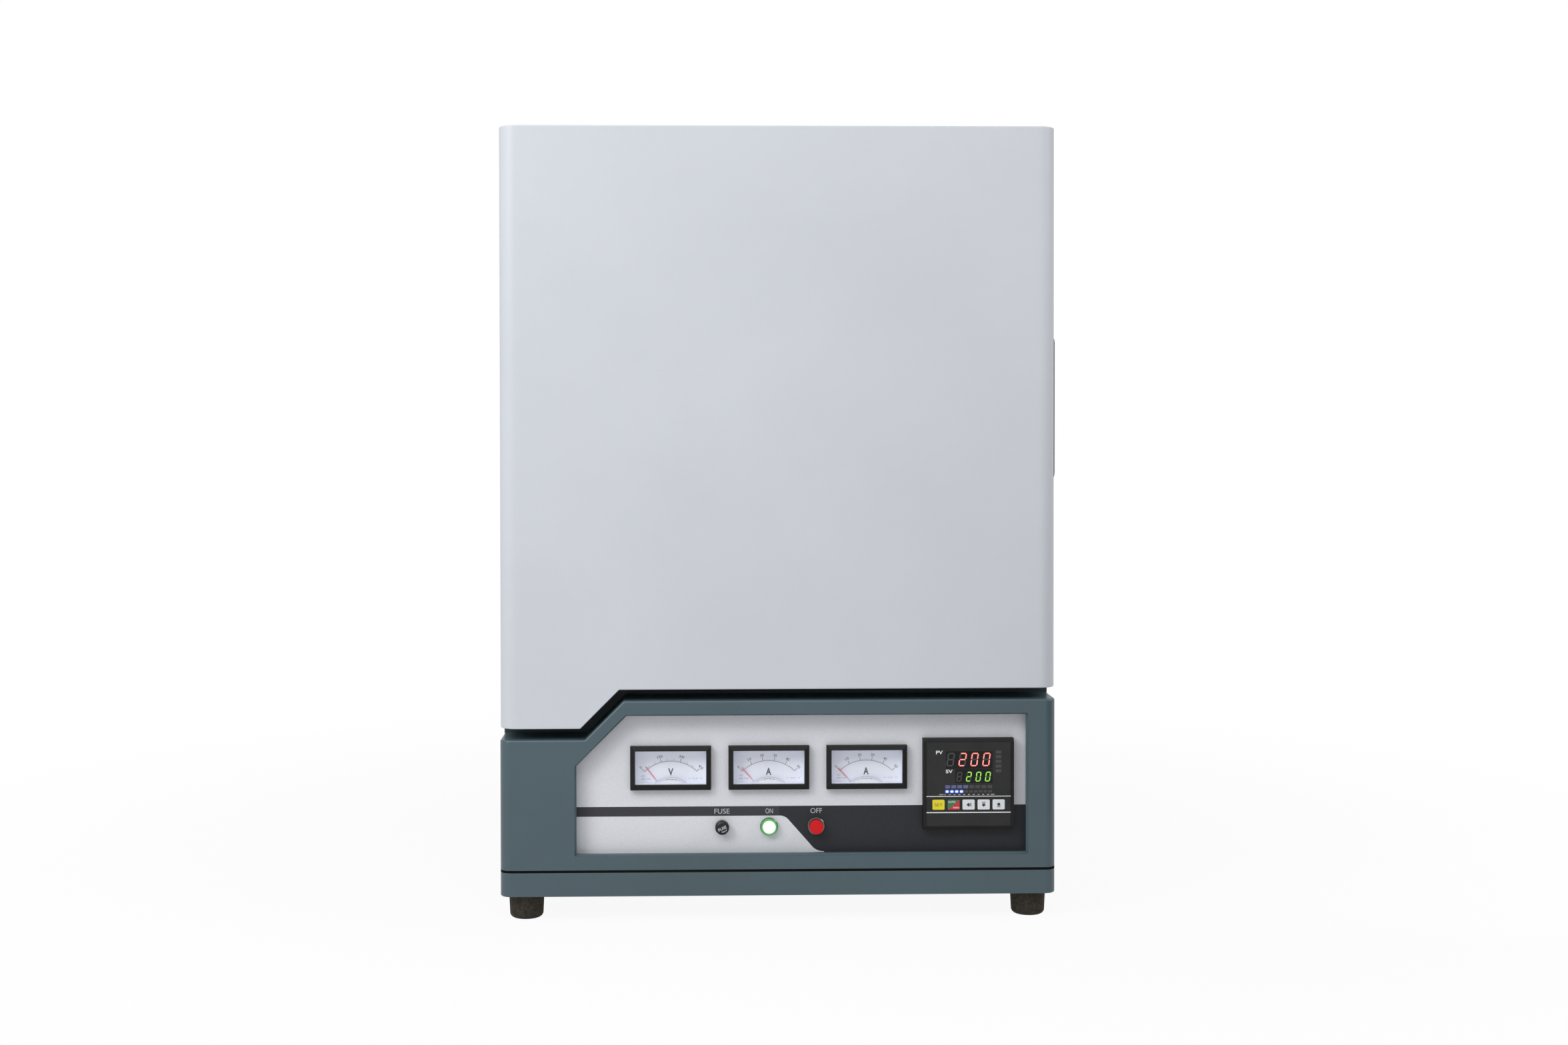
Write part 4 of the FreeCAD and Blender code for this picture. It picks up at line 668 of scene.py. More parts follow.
pan = [door_surface()]
door_shell = make_piece("door_shell", pan, pale_coat, "door_skin", replaces=("door_skin",), closed=False)
walls = door_shell.modifiers.new("sheet", "SOLIDIFY")
walls.thickness = sheet * mm
walls.offset = -1.0
print("door shell faces:", len(door_shell.data.polygons))

# %% [markdown]
# ## Flat prints
# Labels, scales and legends are flat shapes in front of a face. A stroke is a line given a
# width, a patch is an outline that is filled, and lettering comes from Blender's own font,
# stretched to the height and width measured on the real one. Points are (x, z) in
# millimetres, counter-clockwise as seen from the front, so that the faces look forwards.


# %% Strokes, patches and letters
def stroke(points, width):
    """A line of points made a band: each point is moved half the width to both sides of its direction."""
    points = np.asarray(points, float)
    along = np.gradient(points, axis=0)
    along /= np.linalg.norm(along, axis=1, keepdims=True)
    side = np.stack([-along[:, 1], along[:, 0]], axis=-1) * width / 2
    both = np.concatenate([points - side, (points + side)[::-1]])
    count = len(points)
    steps = np.arange(count - 1)
    return both, np.stack([steps, steps + 1, 2 * count - 2 - steps, 2 * count - 1 - steps], axis=-1)


def patch(points):
    """A filled outline."""
    return np.asarray(points, float), [range(len(points))]


def box_patch(x_low, x_high, z_low, z_high, radius=0.0):
    """A filled rectangle, its corners rounded by a radius."""
    if not radius:
        return patch([(x_low, z_low), (x_high, z_low), (x_high, z_high), (x_low, z_high)])
    left, right, low, high = x_low + radius, x_high - radius, z_low + radius, z_high - radius
    bends = zip(((left, low), (right, low), (right, high), (left, high)), (180, 270, 0, 90))
    return patch(np.concatenate([arc(centre, radius, start, start + 90, 5) for centre, start in bends]))


def ring(x, z, radius, width, start=0, end=360, sides=64):
    """A band along a circle, from a start to an end angle."""
    return stroke(arc((x, z), radius, start, end, sides), width)


def turned_flat(points, degrees):
    """Flat points turned counter-clockwise about the origin."""
    c, s = math.cos(math.radians(degrees)), math.sin(math.radians(degrees))
    return points @ np.array([(c, s), (-s, c)])


def letters(text, x, z, height, width, turn=0.0, weight=0.0):
    """Filled lettering about (x, z), stretched to a height and width, turned by degrees.

    A weight makes it bolder or, when negative, finer."""
    curve = bpy.data.curves.new("letters", "FONT")
    curve.body, curve.offset = text, weight
    holder = bpy.data.objects.new("letters", curve)
    mesh = bpy.data.meshes.new_from_object(holder)
    points = np.array([v.co[:2] for v in mesh.vertices])
    faces = [tuple(p.vertices) for p in mesh.polygons]
    for block, made in ((bpy.data.objects, holder), (bpy.data.curves, curve), (bpy.data.meshes, mesh)):
        block.remove(made)
    low, high = points.min(axis=0), points.max(axis=0)
    points = (points - (low + high) / 2) * (np.array((width, height)) / (high - low))
    return turned_flat(points, turn) + (x, z), faces


def moved(shapes, place):
    """Flat shapes moved to a place."""
    return [(np.asarray(points, float) + place, faces) for points, faces in shapes]


def printed(name, shapes, y, finish, node):
    """A print: flat shapes set at a depth y, on the body of the part that carries them."""
    solid = [(np.insert(np.asarray(points, float), 1, y, axis=1), faces) for points, faces in shapes]
    make_piece(name, solid, finish, node, closed=False)


print("print helpers ready")

# %% [markdown]
# ## Frames and the seam
# Inside the window's edge a narrow bevelled lip stands back from the front, so that a light
# line runs along its sill. It is one small profile carried round the window's outline, with
# mitred corners. The same sweep makes the white inner frame behind each meter's glass. Under
# the console a black strip, a little wider than the seam and just proud of it, is painted
# shade: it stands for the seam's shadow, following the plan with its round corners.


# %% Swept frames
def swept_frame(outline, profile):
    """A closed profile of (outward distance, y) carried round a counter-clockwise outline of (x, z).

    Each corner slides along its mitre."""
    outline = np.asarray(outline, float)
    along = np.roll(outline, -1, axis=0) - outline
    along /= np.linalg.norm(along, axis=1, keepdims=True)
    normal = np.stack([along[:, 1], -along[:, 0]], axis=-1)
    before = np.roll(normal, 1, axis=0)
    mitre = (normal + before) / (1 + np.sum(normal * before, axis=1, keepdims=True))
    rings = [np.insert(outline + out * mitre, 1, y, axis=1) for out, y in [*profile, profile[0]]]
    return grid(np.stack(rings), closed=True)


console_front = -350.0
window_left, window_right, window_sill, window_top = -213.8, 262.4, 68.0, 216.6
chamfer = 53.5
window_corners = [
    (window_left, window_sill),
    (window_right, window_sill),
    (window_right, window_top),
    (window_left + chamfer, window_top),
    (window_left, window_top - chamfer),
]
lip = [(0.3, 1.6), (0.0, 1.6), (-1.7, 3.6), (-1.7, 8.0), (0.3, 8.0)]
lip = [(out, console_front + y) for out, y in lip]
make_piece("window_lip", [swept_frame(window_corners, lip)], teal_coat, "console_fascia", crease=30)

needle_joints = [j for j in record["behaviour"]["joints"] if j["name"].endswith("_needle")]
pivots = [joint["pos_m"][0] / mm for joint in needle_joints]
pivot_z = needle_joints[0]["pos_m"][2] / mm
case_low, case_high = corners("voltmeter_case")
case_rim = 5.0
pane_half = (case_high[0] - case_low[0]) / 2 - case_rim
pane_low, pane_high = corners("meter_windows")
dials_low = corners("meter_dials")[0]
frame_front, frame_rear = pane_high[1] + 0.1, dials_low[1] - 0.1
frame_outer, frame_inner = -0.05, -0.45
frame_section = [(frame_outer, frame_front), (frame_inner, frame_front)]
frame_section += [(frame_inner, frame_rear), (frame_outer, frame_rear)]
inner_frames = []
for x in pivots:
    left, right = x - pane_half, x + pane_half
    outline = [(left, pane_low[2]), (right, pane_low[2]), (right, pane_high[2]), (left, pane_high[2])]
    inner_frames.append(swept_frame(outline, frame_section))
make_piece("meter_inner_frames", inner_frames, cover_white, "meter_covers")
print("frames:", 1 + len(inner_frames))

# %% Seam strip
seam_low, seam_high = 51.2, 53.8
seam_proud = 0.03
seam_rear = 325.0
corner_radius = 12.0 + seam_proud
edge_x = min(door_high[0], -door_low[0]) + seam_proud
edge_y = console_front - seam_proud
bend_x, bend_y = edge_x - corner_radius, edge_y + corner_radius
left_bend = arc((-bend_x, bend_y), corner_radius, 180, 270, 10)
right_bend = arc((bend_x, bend_y), corner_radius, 270, 360, 10)
plan = np.concatenate([[(-edge_x, seam_rear)], left_bend, right_bend, [(edge_x, seam_rear)]])
strip = np.stack([np.insert(plan, 2, z, axis=1) for z in (seam_low, seam_high)])
# A black strip a little wider than the seam and just proud of it: painted shade for the seam's shadow.
make_piece("seam_shadow_strip", [grid(strip)], seam_shadow_black, "plinth_tray", closed=False)
print("seam strip:", round(seam_high - seam_low, 1), "mm high")

# %% [markdown]
# ## The panel's film
# The film is silver grey. An anthracite field is printed over its lower right, and a bar of
# the same ink runs left from it above the fuse. The bar takes a lighter copy of that ink, a
# painted glare from the left. Their shared edge turns down in a soft curve, then a 45 degree
# diagonal, then a soft curve along the window's sill. FUSE, ON and OFF stand in the ink over
# the parts that they name.

# %% Panel film
print_gap = 0.04
film_low, film_high = corners("panel_overlay")
film_left, film_right, film_foot = film_low[0] + 1, film_high[0] - 1, film_low[2] + 1
ink_depth, label_depth = (film_low[1] - layer * print_gap for layer in (1, 2))
bar_end, bar_low, bar_high = 1.0, 106.9, 117.1
slope_top, slope_foot = (10.6, 102.8), (36.9, 72.9)
sill, sill_start = 69.0, 48.5


def soft_corner(start, corner, end, steps=9):
    """A curve from start to end that leans towards the corner: a parabola tangent to both lines."""
    t = np.linspace(0, 1, steps)[:, None]
    start, corner, end = np.array(start), np.array(corner), np.array(end)
    return (1 - t) ** 2 * start + 2 * t * (1 - t) * corner + t**2 * end


upper_bend = soft_corner((bar_end, bar_low), (6.9, bar_low), slope_top)
lower_bend = soft_corner(slope_foot, (41.2, sill), (sill_start, sill - 0.2))
field = [(sill_start, film_foot), (film_right, film_foot), (film_right, bar_high), (bar_end, bar_high)]
field = patch(np.concatenate([field, upper_bend, lower_bend]))
bar = box_patch(film_left, bar_end, bar_low, bar_high)
printed("film_dark_field", [field], ink_depth, anthracite_ink, "panel_overlay")
# The bar is printed in the lighter copy of the anthracite ink, a painted glare.
printed("film_dark_bar", [bar], ink_depth, anthracite_ink_painted_glare, "panel_overlay")
label_z, label_height = 111.9, 5.2
words = (("FUSE", -59.4, 16.0), ("ON", -9.6, 7.8), ("OFF", 40.2, 12.2))
labels = [letters(word, x, label_z, label_height, width, weight=-0.004) for word, x, width in words]
printed("film_labels", labels, label_depth, label_ink, "panel_overlay")
print("film prints:", 2 + len(labels))

# %% [markdown]
# ## Meter dials
# Each dial is enamelled white with a black scale: an arc about the needle's pivot, long ticks
# at the numbers, and finer ones between. The pivot lies well below the window, so the scale
# spans only 87 degrees. Angles are worked out from the value, and all ticks are strokes.

# %% Dial scales
dial_front = dials_low[1] - print_gap
scale_radius = 40.1
half_sweep = 43.5
scale_width = 0.42
major_tick, medium_tick, minor_tick = (3.9, 0.5), (2.7, 0.3), (1.7, 0.16)
number_height, digit_width, number_reach = 2.8, 1.85, 6.1


def at_value(pivot, share, radius):
    """The point at a share of the scale and a radius from a pivot."""
    angle = math.radians(half_sweep * (2 * share - 1))
    return np.array([pivot + radius * math.sin(angle), pivot_z + radius * math.cos(angle)])


def tick(pivot, share, length, width):
    """A radial stroke outwards from the scale's arc."""
    ends = np.array([at_value(pivot, share, scale_radius + s * length) for s in (0, 1)])
    return stroke(ends, width)


def dial_print(pivot, numbers, minor, medium):
    """A scale: its arc, long ticks with their numbers turned along, then medium and minor ticks."""
    sweep = (90 - half_sweep, 90 + half_sweep)
    shapes = [stroke(arc((pivot, pivot_z), scale_radius, *sweep, 60), scale_width)]
    steps = len(numbers) - 1
    for index, number in enumerate(numbers):
        share = index / steps
        shapes.append(tick(pivot, share, *major_tick))
        points, faces = letters(number, 0, 0, number_height, len(number) * digit_width, weight=0.008)
        points = turned_flat(points, -half_sweep * (2 * share - 1))
        shapes.append((points + at_value(pivot, share, scale_radius + number_reach), faces))
    total = steps * medium
    shapes += [tick(pivot, i / total, *medium_tick) for i in range(total) if i % medium]
    total *= minor
    shapes += [tick(pivot, i / total, *minor_tick) for i in range(total) if i % minor]
    return shapes


volt_shapes = dial_print(pivots[0], ["0", "150", "300", "450"], minor=5, medium=3)
printed("voltmeter_scale", volt_shapes, dial_front, dial_ink, "meter_dials")
for name, pivot in zip(("left", "right"), pivots[1:]):
    amp_shapes = dial_print(pivot, ["0", "10", "20", "30", "40", "50"], minor=5, medium=1)
    printed(f"ammeter_{name}_scale", amp_shapes, dial_front, dial_ink, "meter_dials")
unit_z, unit_height, unit_width = pivot_z + 28.7, 7.6, 5.65
units = [letters(u, p, unit_z, unit_height, unit_width, weight=0.035) for u, p in zip("VAA", pivots)]
printed("dial_units", units, dial_front, dial_ink, "meter_dials")

small_print = [
    letters("AC", -29, 2.6, 1.6, 4.2),
    letters("50 Hz", -26, -0.6, 1.5, 10),
    letters("~", 20, -0.3, 0.6, 2.2),
    letters("2.5", 26, -0.3, 1.6, 4.4),
    ring(32, -0.3, 0.8, 0.2, sides=16),
    stroke([(22.6, -1), (22.6, 0.6)], 0.2),
]
small_z = dials_low[2] + 6.0
class_marks = [shape for pivot in pivots for shape in moved(small_print, (pivot, small_z))]
printed("dial_class_marks", class_marks, dial_front, faint_ink, "meter_dials")
print("dials:", len(pivots), "pivot height", round(pivot_z, 1))

# %% [markdown]
# ## Needle covers
# A white moulded cover hides each movement. A fine grey arc along its round edge, whose centre
# lies a little below the pivot, is painted shade, and so is a second arc at a raised inner step;
# the brighter white field below that step is a painted highlight. A few small dashes are
# printed between the two.

# %% Needle cover lines
cover_low, cover_high = corners("meter_covers")
cover_front = cover_low[1] - print_gap
cover_radius, step_radius, field_radius = 27.3, 25.3, 24.3
cover_z = cover_high[2] - cover_radius
window_floor = cover_low[2] + 0.2
edge_width, step_width, dash_width = 0.35, 0.2, 0.5
dashes = ((-5, -3.1), (-2, -0.4), (0.7, 2.7), (3.9, 6.0))


def cover_arc(pivot, radius, steps=40):
    """The arc of a cover's circle that stands above the window's floor."""
    rise = math.degrees(math.asin((window_floor - cover_z) / radius))
    return arc((pivot, cover_z), radius, rise, 180 - rise, steps)


cover_shade_arcs, cover_step_highlight, cover_marks = [], [], []
for pivot in pivots:
    # Grey arcs along the cover's round edge and its step: painted shade.
    cover_shade_arcs.append(stroke(cover_arc(pivot, cover_radius - 0.2), edge_width))
    cover_shade_arcs.append(stroke(cover_arc(pivot, step_radius), step_width))
    # Brighter white field on the raised step: painted highlight.
    cover_step_highlight.append(patch(cover_arc(pivot, field_radius)))
    for x_start, x_end in dashes:
        turn = [math.degrees(math.acos(x / step_radius)) for x in (x_end, x_start)]
        cover_marks.append(ring(pivot, cover_z, step_radius, dash_width, *turn, sides=6))
# The grey arcs are painted shade, the white field a painted highlight, and the dashes are print.
printed("cover_edge_shading", cover_shade_arcs, cover_front - print_gap, faint_ink, "meter_covers")
printed("cover_step_highlight", cover_step_highlight, cover_front, white_ink, "meter_covers")
printed("cover_marks", cover_marks, cover_front - 2 * print_gap, dial_ink, "meter_covers")
print("covers:", len(pivots))

# %% [markdown]
# ## The controller's display
# Two rows of slanted seven-segment figures stand behind a dark foil: the measured value in
# red and the set value in green. A segment is a bar with pointed ends. The red bars get a
# paler core, because a real one is brightest along its middle. Unlit bars stay dark grey.

# %% Seven-segment figures
face_low, face_high = corners("controller_face")
face_middle = ((face_low + face_high) / 2)[[0, 2]]
levels = [face_low[1] - step * print_gap for step in range(1, 5)]
figure_slant = 0.135
segment_gap = 0.12
segment_ends = {
    "a": ((0, 1), (1, 1)),
    "b": ((1, 1), (1, 0.5)),
    "c": ((1, 0.5), (1, 0)),
    "d": ((0, 0), (1, 0)),
    "e": ((0, 0.5), (0, 0)),
    "f": ((0, 1), (0, 0.5)),
    "g": ((0, 0.5), (1, 0.5)),
}
lit_segments = {"2": "abged", "0": "abcdef", " ": ""}


def pointed_bar(start, end, width, inset):
    """A bar between two points: a hexagon with pointed ends, held back from both by an inset."""
    start, end = np.array(start, float), np.array(end, float)
    along = (end - start) / np.linalg.norm(end - start)
    side = np.array([-along[1], along[0]]) * width / 2
    start, end = start + along * inset, end - along * inset
    nib = along * width / 2
    return np.array([start, start + nib - side, end - nib - side, end, end - nib + side, start + nib + side])


def figure(sign, place, width, height, bar, shrink):
    """Lit and unlit segments of one figure whose lower left corner is at a place."""
    lit, unlit = [], []
    for name, ends in segment_ends.items():
        span = (width - bar, height - bar)
        inset = segment_gap + shrink / 2
        points = pointed_bar(*[np.array(end) * span for end in ends], bar - shrink, inset)
        points = points + bar / 2
        points[:, 0] += points[:, 1] * figure_slant
        (lit if name in lit_segments[sign] else unlit).append(patch(points + place))
    return lit, unlit


def display(text, x, z, width, height, pitch, bar, shrink=0.0):
    """A row of figures from a text, about the middle of the face."""
    places = [face_middle + (x + i * pitch, z) for i in range(len(text))]
    rows = [figure(sign, place, width, height, bar, shrink) for sign, place in zip(text, places)]
    return [sum(part, []) for part in zip(*rows)]


value_look = {"x": -23.8, "z": 18.6, "width": 7.8, "height": 14.5, "pitch": 12.6, "bar": 1.55}
target_look = {"x": -13.2, "z": 2.5, "width": 5.5, "height": 10.4, "pitch": 10.05, "bar": 1.15}
value_lit, value_unlit = display(" 200", **value_look)
value_core, _ = display(" 200", shrink=0.85, **value_look)
target_lit, target_unlit = display(" 200", **target_look)
glass = moved([box_patch(-24.0, 25.4, 16.2, 34.6), box_patch(-14.2, 25.4, 0.9, 15.6)], face_middle)
display_prints = {
    "display_glass": (glass, levels[0], display_glass),
    "display_unlit": (value_unlit + target_unlit, levels[1], unlit_segment),
    "display_value": (value_lit, levels[2], red_segment),
    "display_value_core": (value_core, levels[3], red_core),
    "display_target": (target_lit, levels[2], green_segment),
}
for name, (shapes, level, finish) in display_prints.items():
    printed(name, shapes, level, finish, "controller_face")
print("segments lit:", len(value_lit) + len(target_lit))

# %% [markdown]
# ## Lamps, lines and legends of the controller
# Small legend blocks light up for each state, and a row of ten lamps shows the output in
# steps of ten per cent: four are on. Two white lines frame the keys. The marks are plain
# numbers and the usual words of such an instrument.

# %% Controller legends
block_height, block_round = 3.4, 0.5
side_left, side_right, side_foot, side_pitch = 28.6, 34.6, 12.1, 4.95
row_left, row_foot, row_width, block_pitch = -24.7, -4.6, 5.2, 6.36
side_places = side_foot + side_pitch * np.arange(5)
row_places = row_left + block_pitch * np.arange(8)
side_blocks = [box_patch(side_left, side_right, z, z + block_height, block_round) for z in side_places]
row_top = row_foot + block_height
row_blocks = [box_patch(x, x + row_width, row_foot, row_top, block_round) for x in row_places]
blocks_on, lamps_on = 4, 4
lamp_x, lamp_z, lamp_pitch = -22.6, -7.9, 5.05
lamp_places = lamp_x + lamp_pitch * np.arange(10)


def lamps(places, left, right, half_height, radius):
    """A lamp's rounded rectangle at each place in the row."""
    spans = [(x - left, x + right) for x in places]
    return [box_patch(*span, lamp_z - half_height, lamp_z + half_height, radius) for span in spans]


name_height, name_width = 3.7, 7.2
small_height, small_width, small_row = 1.0, 1.05, -11.15
line_ends = (-45.2, 45.6)
white_marks = [
    letters("PV", -30.9, 33.4, name_height, name_width, weight=0.02),
    letters("SV", -20.5, 13.3, name_height, name_width, weight=0.02),
    box_patch(*line_ends, -13.4, -12.7),
    box_patch(*line_ends, -30.6, -29.6),
    letters("OUT", -28.6, small_row, small_height, 4.6, weight=0.01),
]
for i, text in enumerate([*map(str, range(0, 100, 10)), "100%"]):
    x = lamp_x - 2.4 + lamp_pitch * i
    white_marks.append(letters(text, x, small_row, small_height, small_width * len(text)))
lamps_off = lamps(lamp_places[lamps_on:], 2.1, 1.9, 1.3, 0.8)
lamps_lit = lamps(lamp_places[:lamps_on], 2.3, 2.1, 1.75, 1.2)
lamps_core = lamps(lamp_places[:lamps_on], 1.6, 1.4, 1.1, 0.8)
legend_prints = {
    "legend_blocks": (side_blocks + row_blocks[blocks_on:], levels[0], unlit_segment),
    "legend_blocks_blue": (row_blocks[:blocks_on], levels[0], blue_dim),
    "output_lamps_off": (lamps_off, levels[0], unlit_segment),
    "output_lamps": (lamps_lit, levels[1], blue_lamp),
    "output_lamp_cores": (lamps_core, levels[2], blue_core),
    "controller_marks": (white_marks, levels[0], white_ink),
}
for name, (shapes, level, finish) in legend_prints.items():
    printed(name, moved(shapes, face_middle), level, finish, "controller_face")
print("controller legends:", len(white_marks))

# %% [markdown]
# ## Key legends
# Each key carries its word or arrow, printed about its middle. The second key is green with
# a red lower corner, because it has two meanings.


# %% Keys
def key_print(name, node, shapes, layer, finish):
    """A print on a key: flat shapes drawn about its middle, a number of layers in front of it."""
    low, high = corners(node)
    middle = ((low + high) / 2)[[0, 2]]
    printed(name, moved(shapes, middle), low[1] - layer * print_gap, finish, node)


def arrow(turn):
    """A filled house-shaped arrow pointing up, with two bars below, turned by degrees."""
    head = patch([(-2.1, 0.3), (-1.3, -0.3), (-1.3, -1.1), (1.3, -1.1), (1.3, -0.3), (2.1, 0.3), (0, 2.3)])
    bars = [box_patch(-1.9, 1.9, z, z + 0.45) for z in (-1.95, -2.75)]
    return [(turned_flat(points, turn), faces) for points, faces in [head, *bars]]


key_low, key_high = corners("key_set")
key_edge = 0.15
across, rise = (key_high - key_low)[[0, 2]] / 2 - key_edge
triangle = patch([(-across, -rise), (across, -rise), (across, rise)])
auto = letters("AUTO", -2.0, 3.0, 1.9, 7.4, weight=0.015)
manual = letters("MAN", 2.6, -3.0, 1.9, 6.2, weight=0.015)
key_print("key_set_legend", "key_set", [letters("SET", 0, 0, 3.0, 8.6)], 1, set_ink)
key_print("key_mode_red", "key_mode", [triangle], 1, key_red)
key_print("key_mode_legend", "key_mode", [auto, manual], 2, white_ink)
for node, turn in (("key_shift", 90), ("key_down", 180), ("key_up", 0)):
    key_print(f"{node}_legend", node, arrow(turn), 1, key_ink)
print("key legends ready")

# %% [markdown]
# ## Buttons and fuse cap
# The ON lens is a white diffuser in a green ring, lit from behind. The OFF cap is plain red.
# Both are profiles turned about the y axis: a crowned front, a skirt and a stem. The fuse
# cap has a flat face with a chamfer that catches the light, and eight grip grooves along its
# skirt. Its word and arrow are stamped askew as on the real one.

# %% Turned buttons
on_low, on_high = corners("on_button")
off_low, off_high = corners("off_button")


def middle_of(low, high):
    """A part's middle across the panel, with its foremost y."""
    return np.array([(low[0] + high[0]) / 2, low[1], (low[2] + high[2]) / 2])


stem = 4.0
on_head, off_head = 3.9, 6.2
on_deep, off_deep = on_high[1] - on_low[1], off_high[1] - off_low[1]
on_radius, off_radius = (on_high[0] - on_low[0]) / 2, (off_high[0] - off_low[0]) / 2
on_bend, off_bend = 0.7, 0.6
lens_radius = 6.9
diffuser = [(0, 0), (4.0, 0.1), (6.2, 0.35), (lens_radius, 0.8), (lens_radius, on_head), (0, on_head)]
ring_profile = [(lens_radius, on_head), (lens_radius, 0.75), (lens_radius + 0.35, 0.5)]
ring_profile += arc((on_radius - on_bend, 1.2), on_bend, -90, 0, 5).tolist()
ring_profile += [(on_radius, on_head), (stem, on_head), (stem, on_deep), (0, on_deep)]
off_profile = [(0, 0), *arc((off_radius - off_bend, off_bend), off_bend, -90, 0, 6).tolist()]
off_profile += [(off_radius, off_head), (stem, off_head), (stem, off_deep), (0, off_deep)]
on_place = middle_of(on_low, on_high)
on_lens = [turned(diffuser, on_place)]
on_ring = [turned(ring_profile, on_place)]
off_cap = [turned(off_profile, middle_of(off_low, off_high))]
make_piece("on_button_diffuser", on_lens, on_diffuser, "on_button")
make_piece("on_button_ring", on_ring, on_green, "on_button", replaces=("on_button",))
make_piece("off_button_cap", off_cap, off_red, "off_button", replaces=("off_button",))
print("button radii:", round(on_radius, 1), round(off_radius, 1))

# %% Turned fuse cap
fuse_low, fuse_high = corners("fuse_cap")
fuse_place = middle_of(fuse_low, fuse_high)
fuse_radius = (fuse_high[0] - fuse_low[0]) / 2
fuse_deep = fuse_high[1] - fuse_low[1]
fuse_stem, fuse_stem_length = 3.0, 14.0
fuse_tall = fuse_deep - fuse_stem_length
fuse_face = 0.15
fuse_profile = [(0, fuse_face), (5.0, fuse_face), (5.9, 0.9), (6.6, 1.1), (fuse_radius, 1.9)]
fuse_profile += [(fuse_radius, fuse_tall), (fuse_stem, fuse_tall), (fuse_stem, fuse_deep), (0, fuse_deep)]


def fluted(profile, centre, radius, flutes=8, depth=0.5, steps=12):
    """A turned profile whose outermost rows dip where the grip grooves run along the skirt."""
    points, faces = turned(profile, (0, 0, 0), sides=flutes * steps)
    groove = np.arange(len(points)) % steps == 0
    on_skirt = np.hypot(points[:, 0], points[:, 2]) > radius - 1e-6
    points = points.copy()
    points[np.ix_(groove & on_skirt, [0, 2])] *= 1 - depth / radius
    return points + centre, faces


fuse_cap = [fluted(fuse_profile, fuse_place, fuse_radius)]
make_piece("turned_fuse_cap", fuse_cap, knob_black, "fuse_cap", replaces=("fuse_cap",))
fuse_word = letters("FUSE", 0.2, -0.3, 3.1, 9.0, turn=25, weight=0.02)
arrow_line = stroke(arc((0.4, 0.6), 4.6, 260, 322, 12), 0.75)
arrow_tip = patch([(3.1, -3.2), (4.9, -2.7), (4.6, -0.9)])
fuse_marks = moved([fuse_word, arrow_line, arrow_tip], fuse_place[[0, 2]])
printed("fuse_cap_marks", fuse_marks, fuse_low[1] + fuse_face - print_gap, label_ink, "fuse_cap")
print("fuse cap radius:", round(fuse_radius, 1))

# %% [markdown]
# ## Rubber feet
# Each foot is a turned rubber buffer: a little wider at its top, with a rounded tread. A
# screw holds it through a bore from below.

# %% Feet
feet_low, feet_high = corners("rubber_feet")
foot_inset = 18.4
foot_top, foot_tread, foot_bend = 19.0, 17.6, 5.0
sink_radius, sink_deep, bore_radius = 7.5, 12.0, 4.3
foot_height = feet_high[2] - feet_low[2]
foot_profile = [
    (sink_radius, sink_deep),
    (sink_radius, 0.8),
    (8.3, 0.0),
    *arc((foot_tread - foot_bend, foot_bend), foot_bend, -90, -8, 8).tolist(),
    (foot_top - 0.4, foot_height - 1.2),
    (foot_top, foot_height - 0.6),
    (foot_top - 0.2, foot_height),
    (bore_radius, foot_height),
    (bore_radius, sink_deep),
    (sink_radius, sink_deep),
]
feet = [
    turned(foot_profile, (x, y, 0), "z", sides=48)
    for x in (feet_low[0] + foot_inset, feet_high[0] - foot_inset)
    for y in (feet_low[1] + foot_inset, feet_high[1] - foot_inset)
]
make_piece("turned_rubber_feet", feet, rubber, "rubber_feet", replaces=("rubber_feet",))
print("feet:", len(feet))

# %% [markdown]
# ## Heating coils
# Each side wall carries nine rows of coiled wire. A coil is a helix: the wire's centre turns
# about the row's axis while it advances one pitch per turn. A wire is a small ring carried
# along its path, turned with the path's direction, and closed at both ends.

# %% Coils
row_count, row_pitch, row_length = 9, 30.0, 363.0
coil_radius, coil_pitch, coil_steps = 5.5, 5.6, 10
wire_radius, link_radius, link_inset = 1.1, 1.6, 6.0


def wire(path, radius, across, sides):
    """A round wire along a path: the ring at each point is square to it, set out from a direction."""
    path = np.asarray(path, float)
    along = np.gradient(path, axis=0)
    along /= np.linalg.norm(along, axis=1, keepdims=True)
    first = np.cross(along, np.array(across, float))
    first /= np.linalg.norm(first, axis=1, keepdims=True)
    second = np.cross(along, first)
    angle = np.linspace(0, 2 * math.pi, sides, endpoint=False)[:, None]
    rings = path[:, None] + radius * (np.cos(angle) * first[:, None] + np.sin(angle) * second[:, None])
    points, faces = grid(rings, closed=True)
    last = len(path) * sides
    return points, [*faces.tolist(), list(range(sides)), list(range(last - sides, last))]


def coil(x, z, y_start, y_end, radius):
    """A helix about a line along y."""
    turns = (y_end - y_start) / coil_pitch
    angle = np.linspace(0, 2 * math.pi * turns, int(turns * coil_steps))
    y = y_start + coil_pitch * angle / (2 * math.pi)
    path = np.stack([x + radius * np.cos(angle), y, z + radius * np.sin(angle)], axis=-1)
    return wire(path, wire_radius, (0, 1, 0), sides=5)


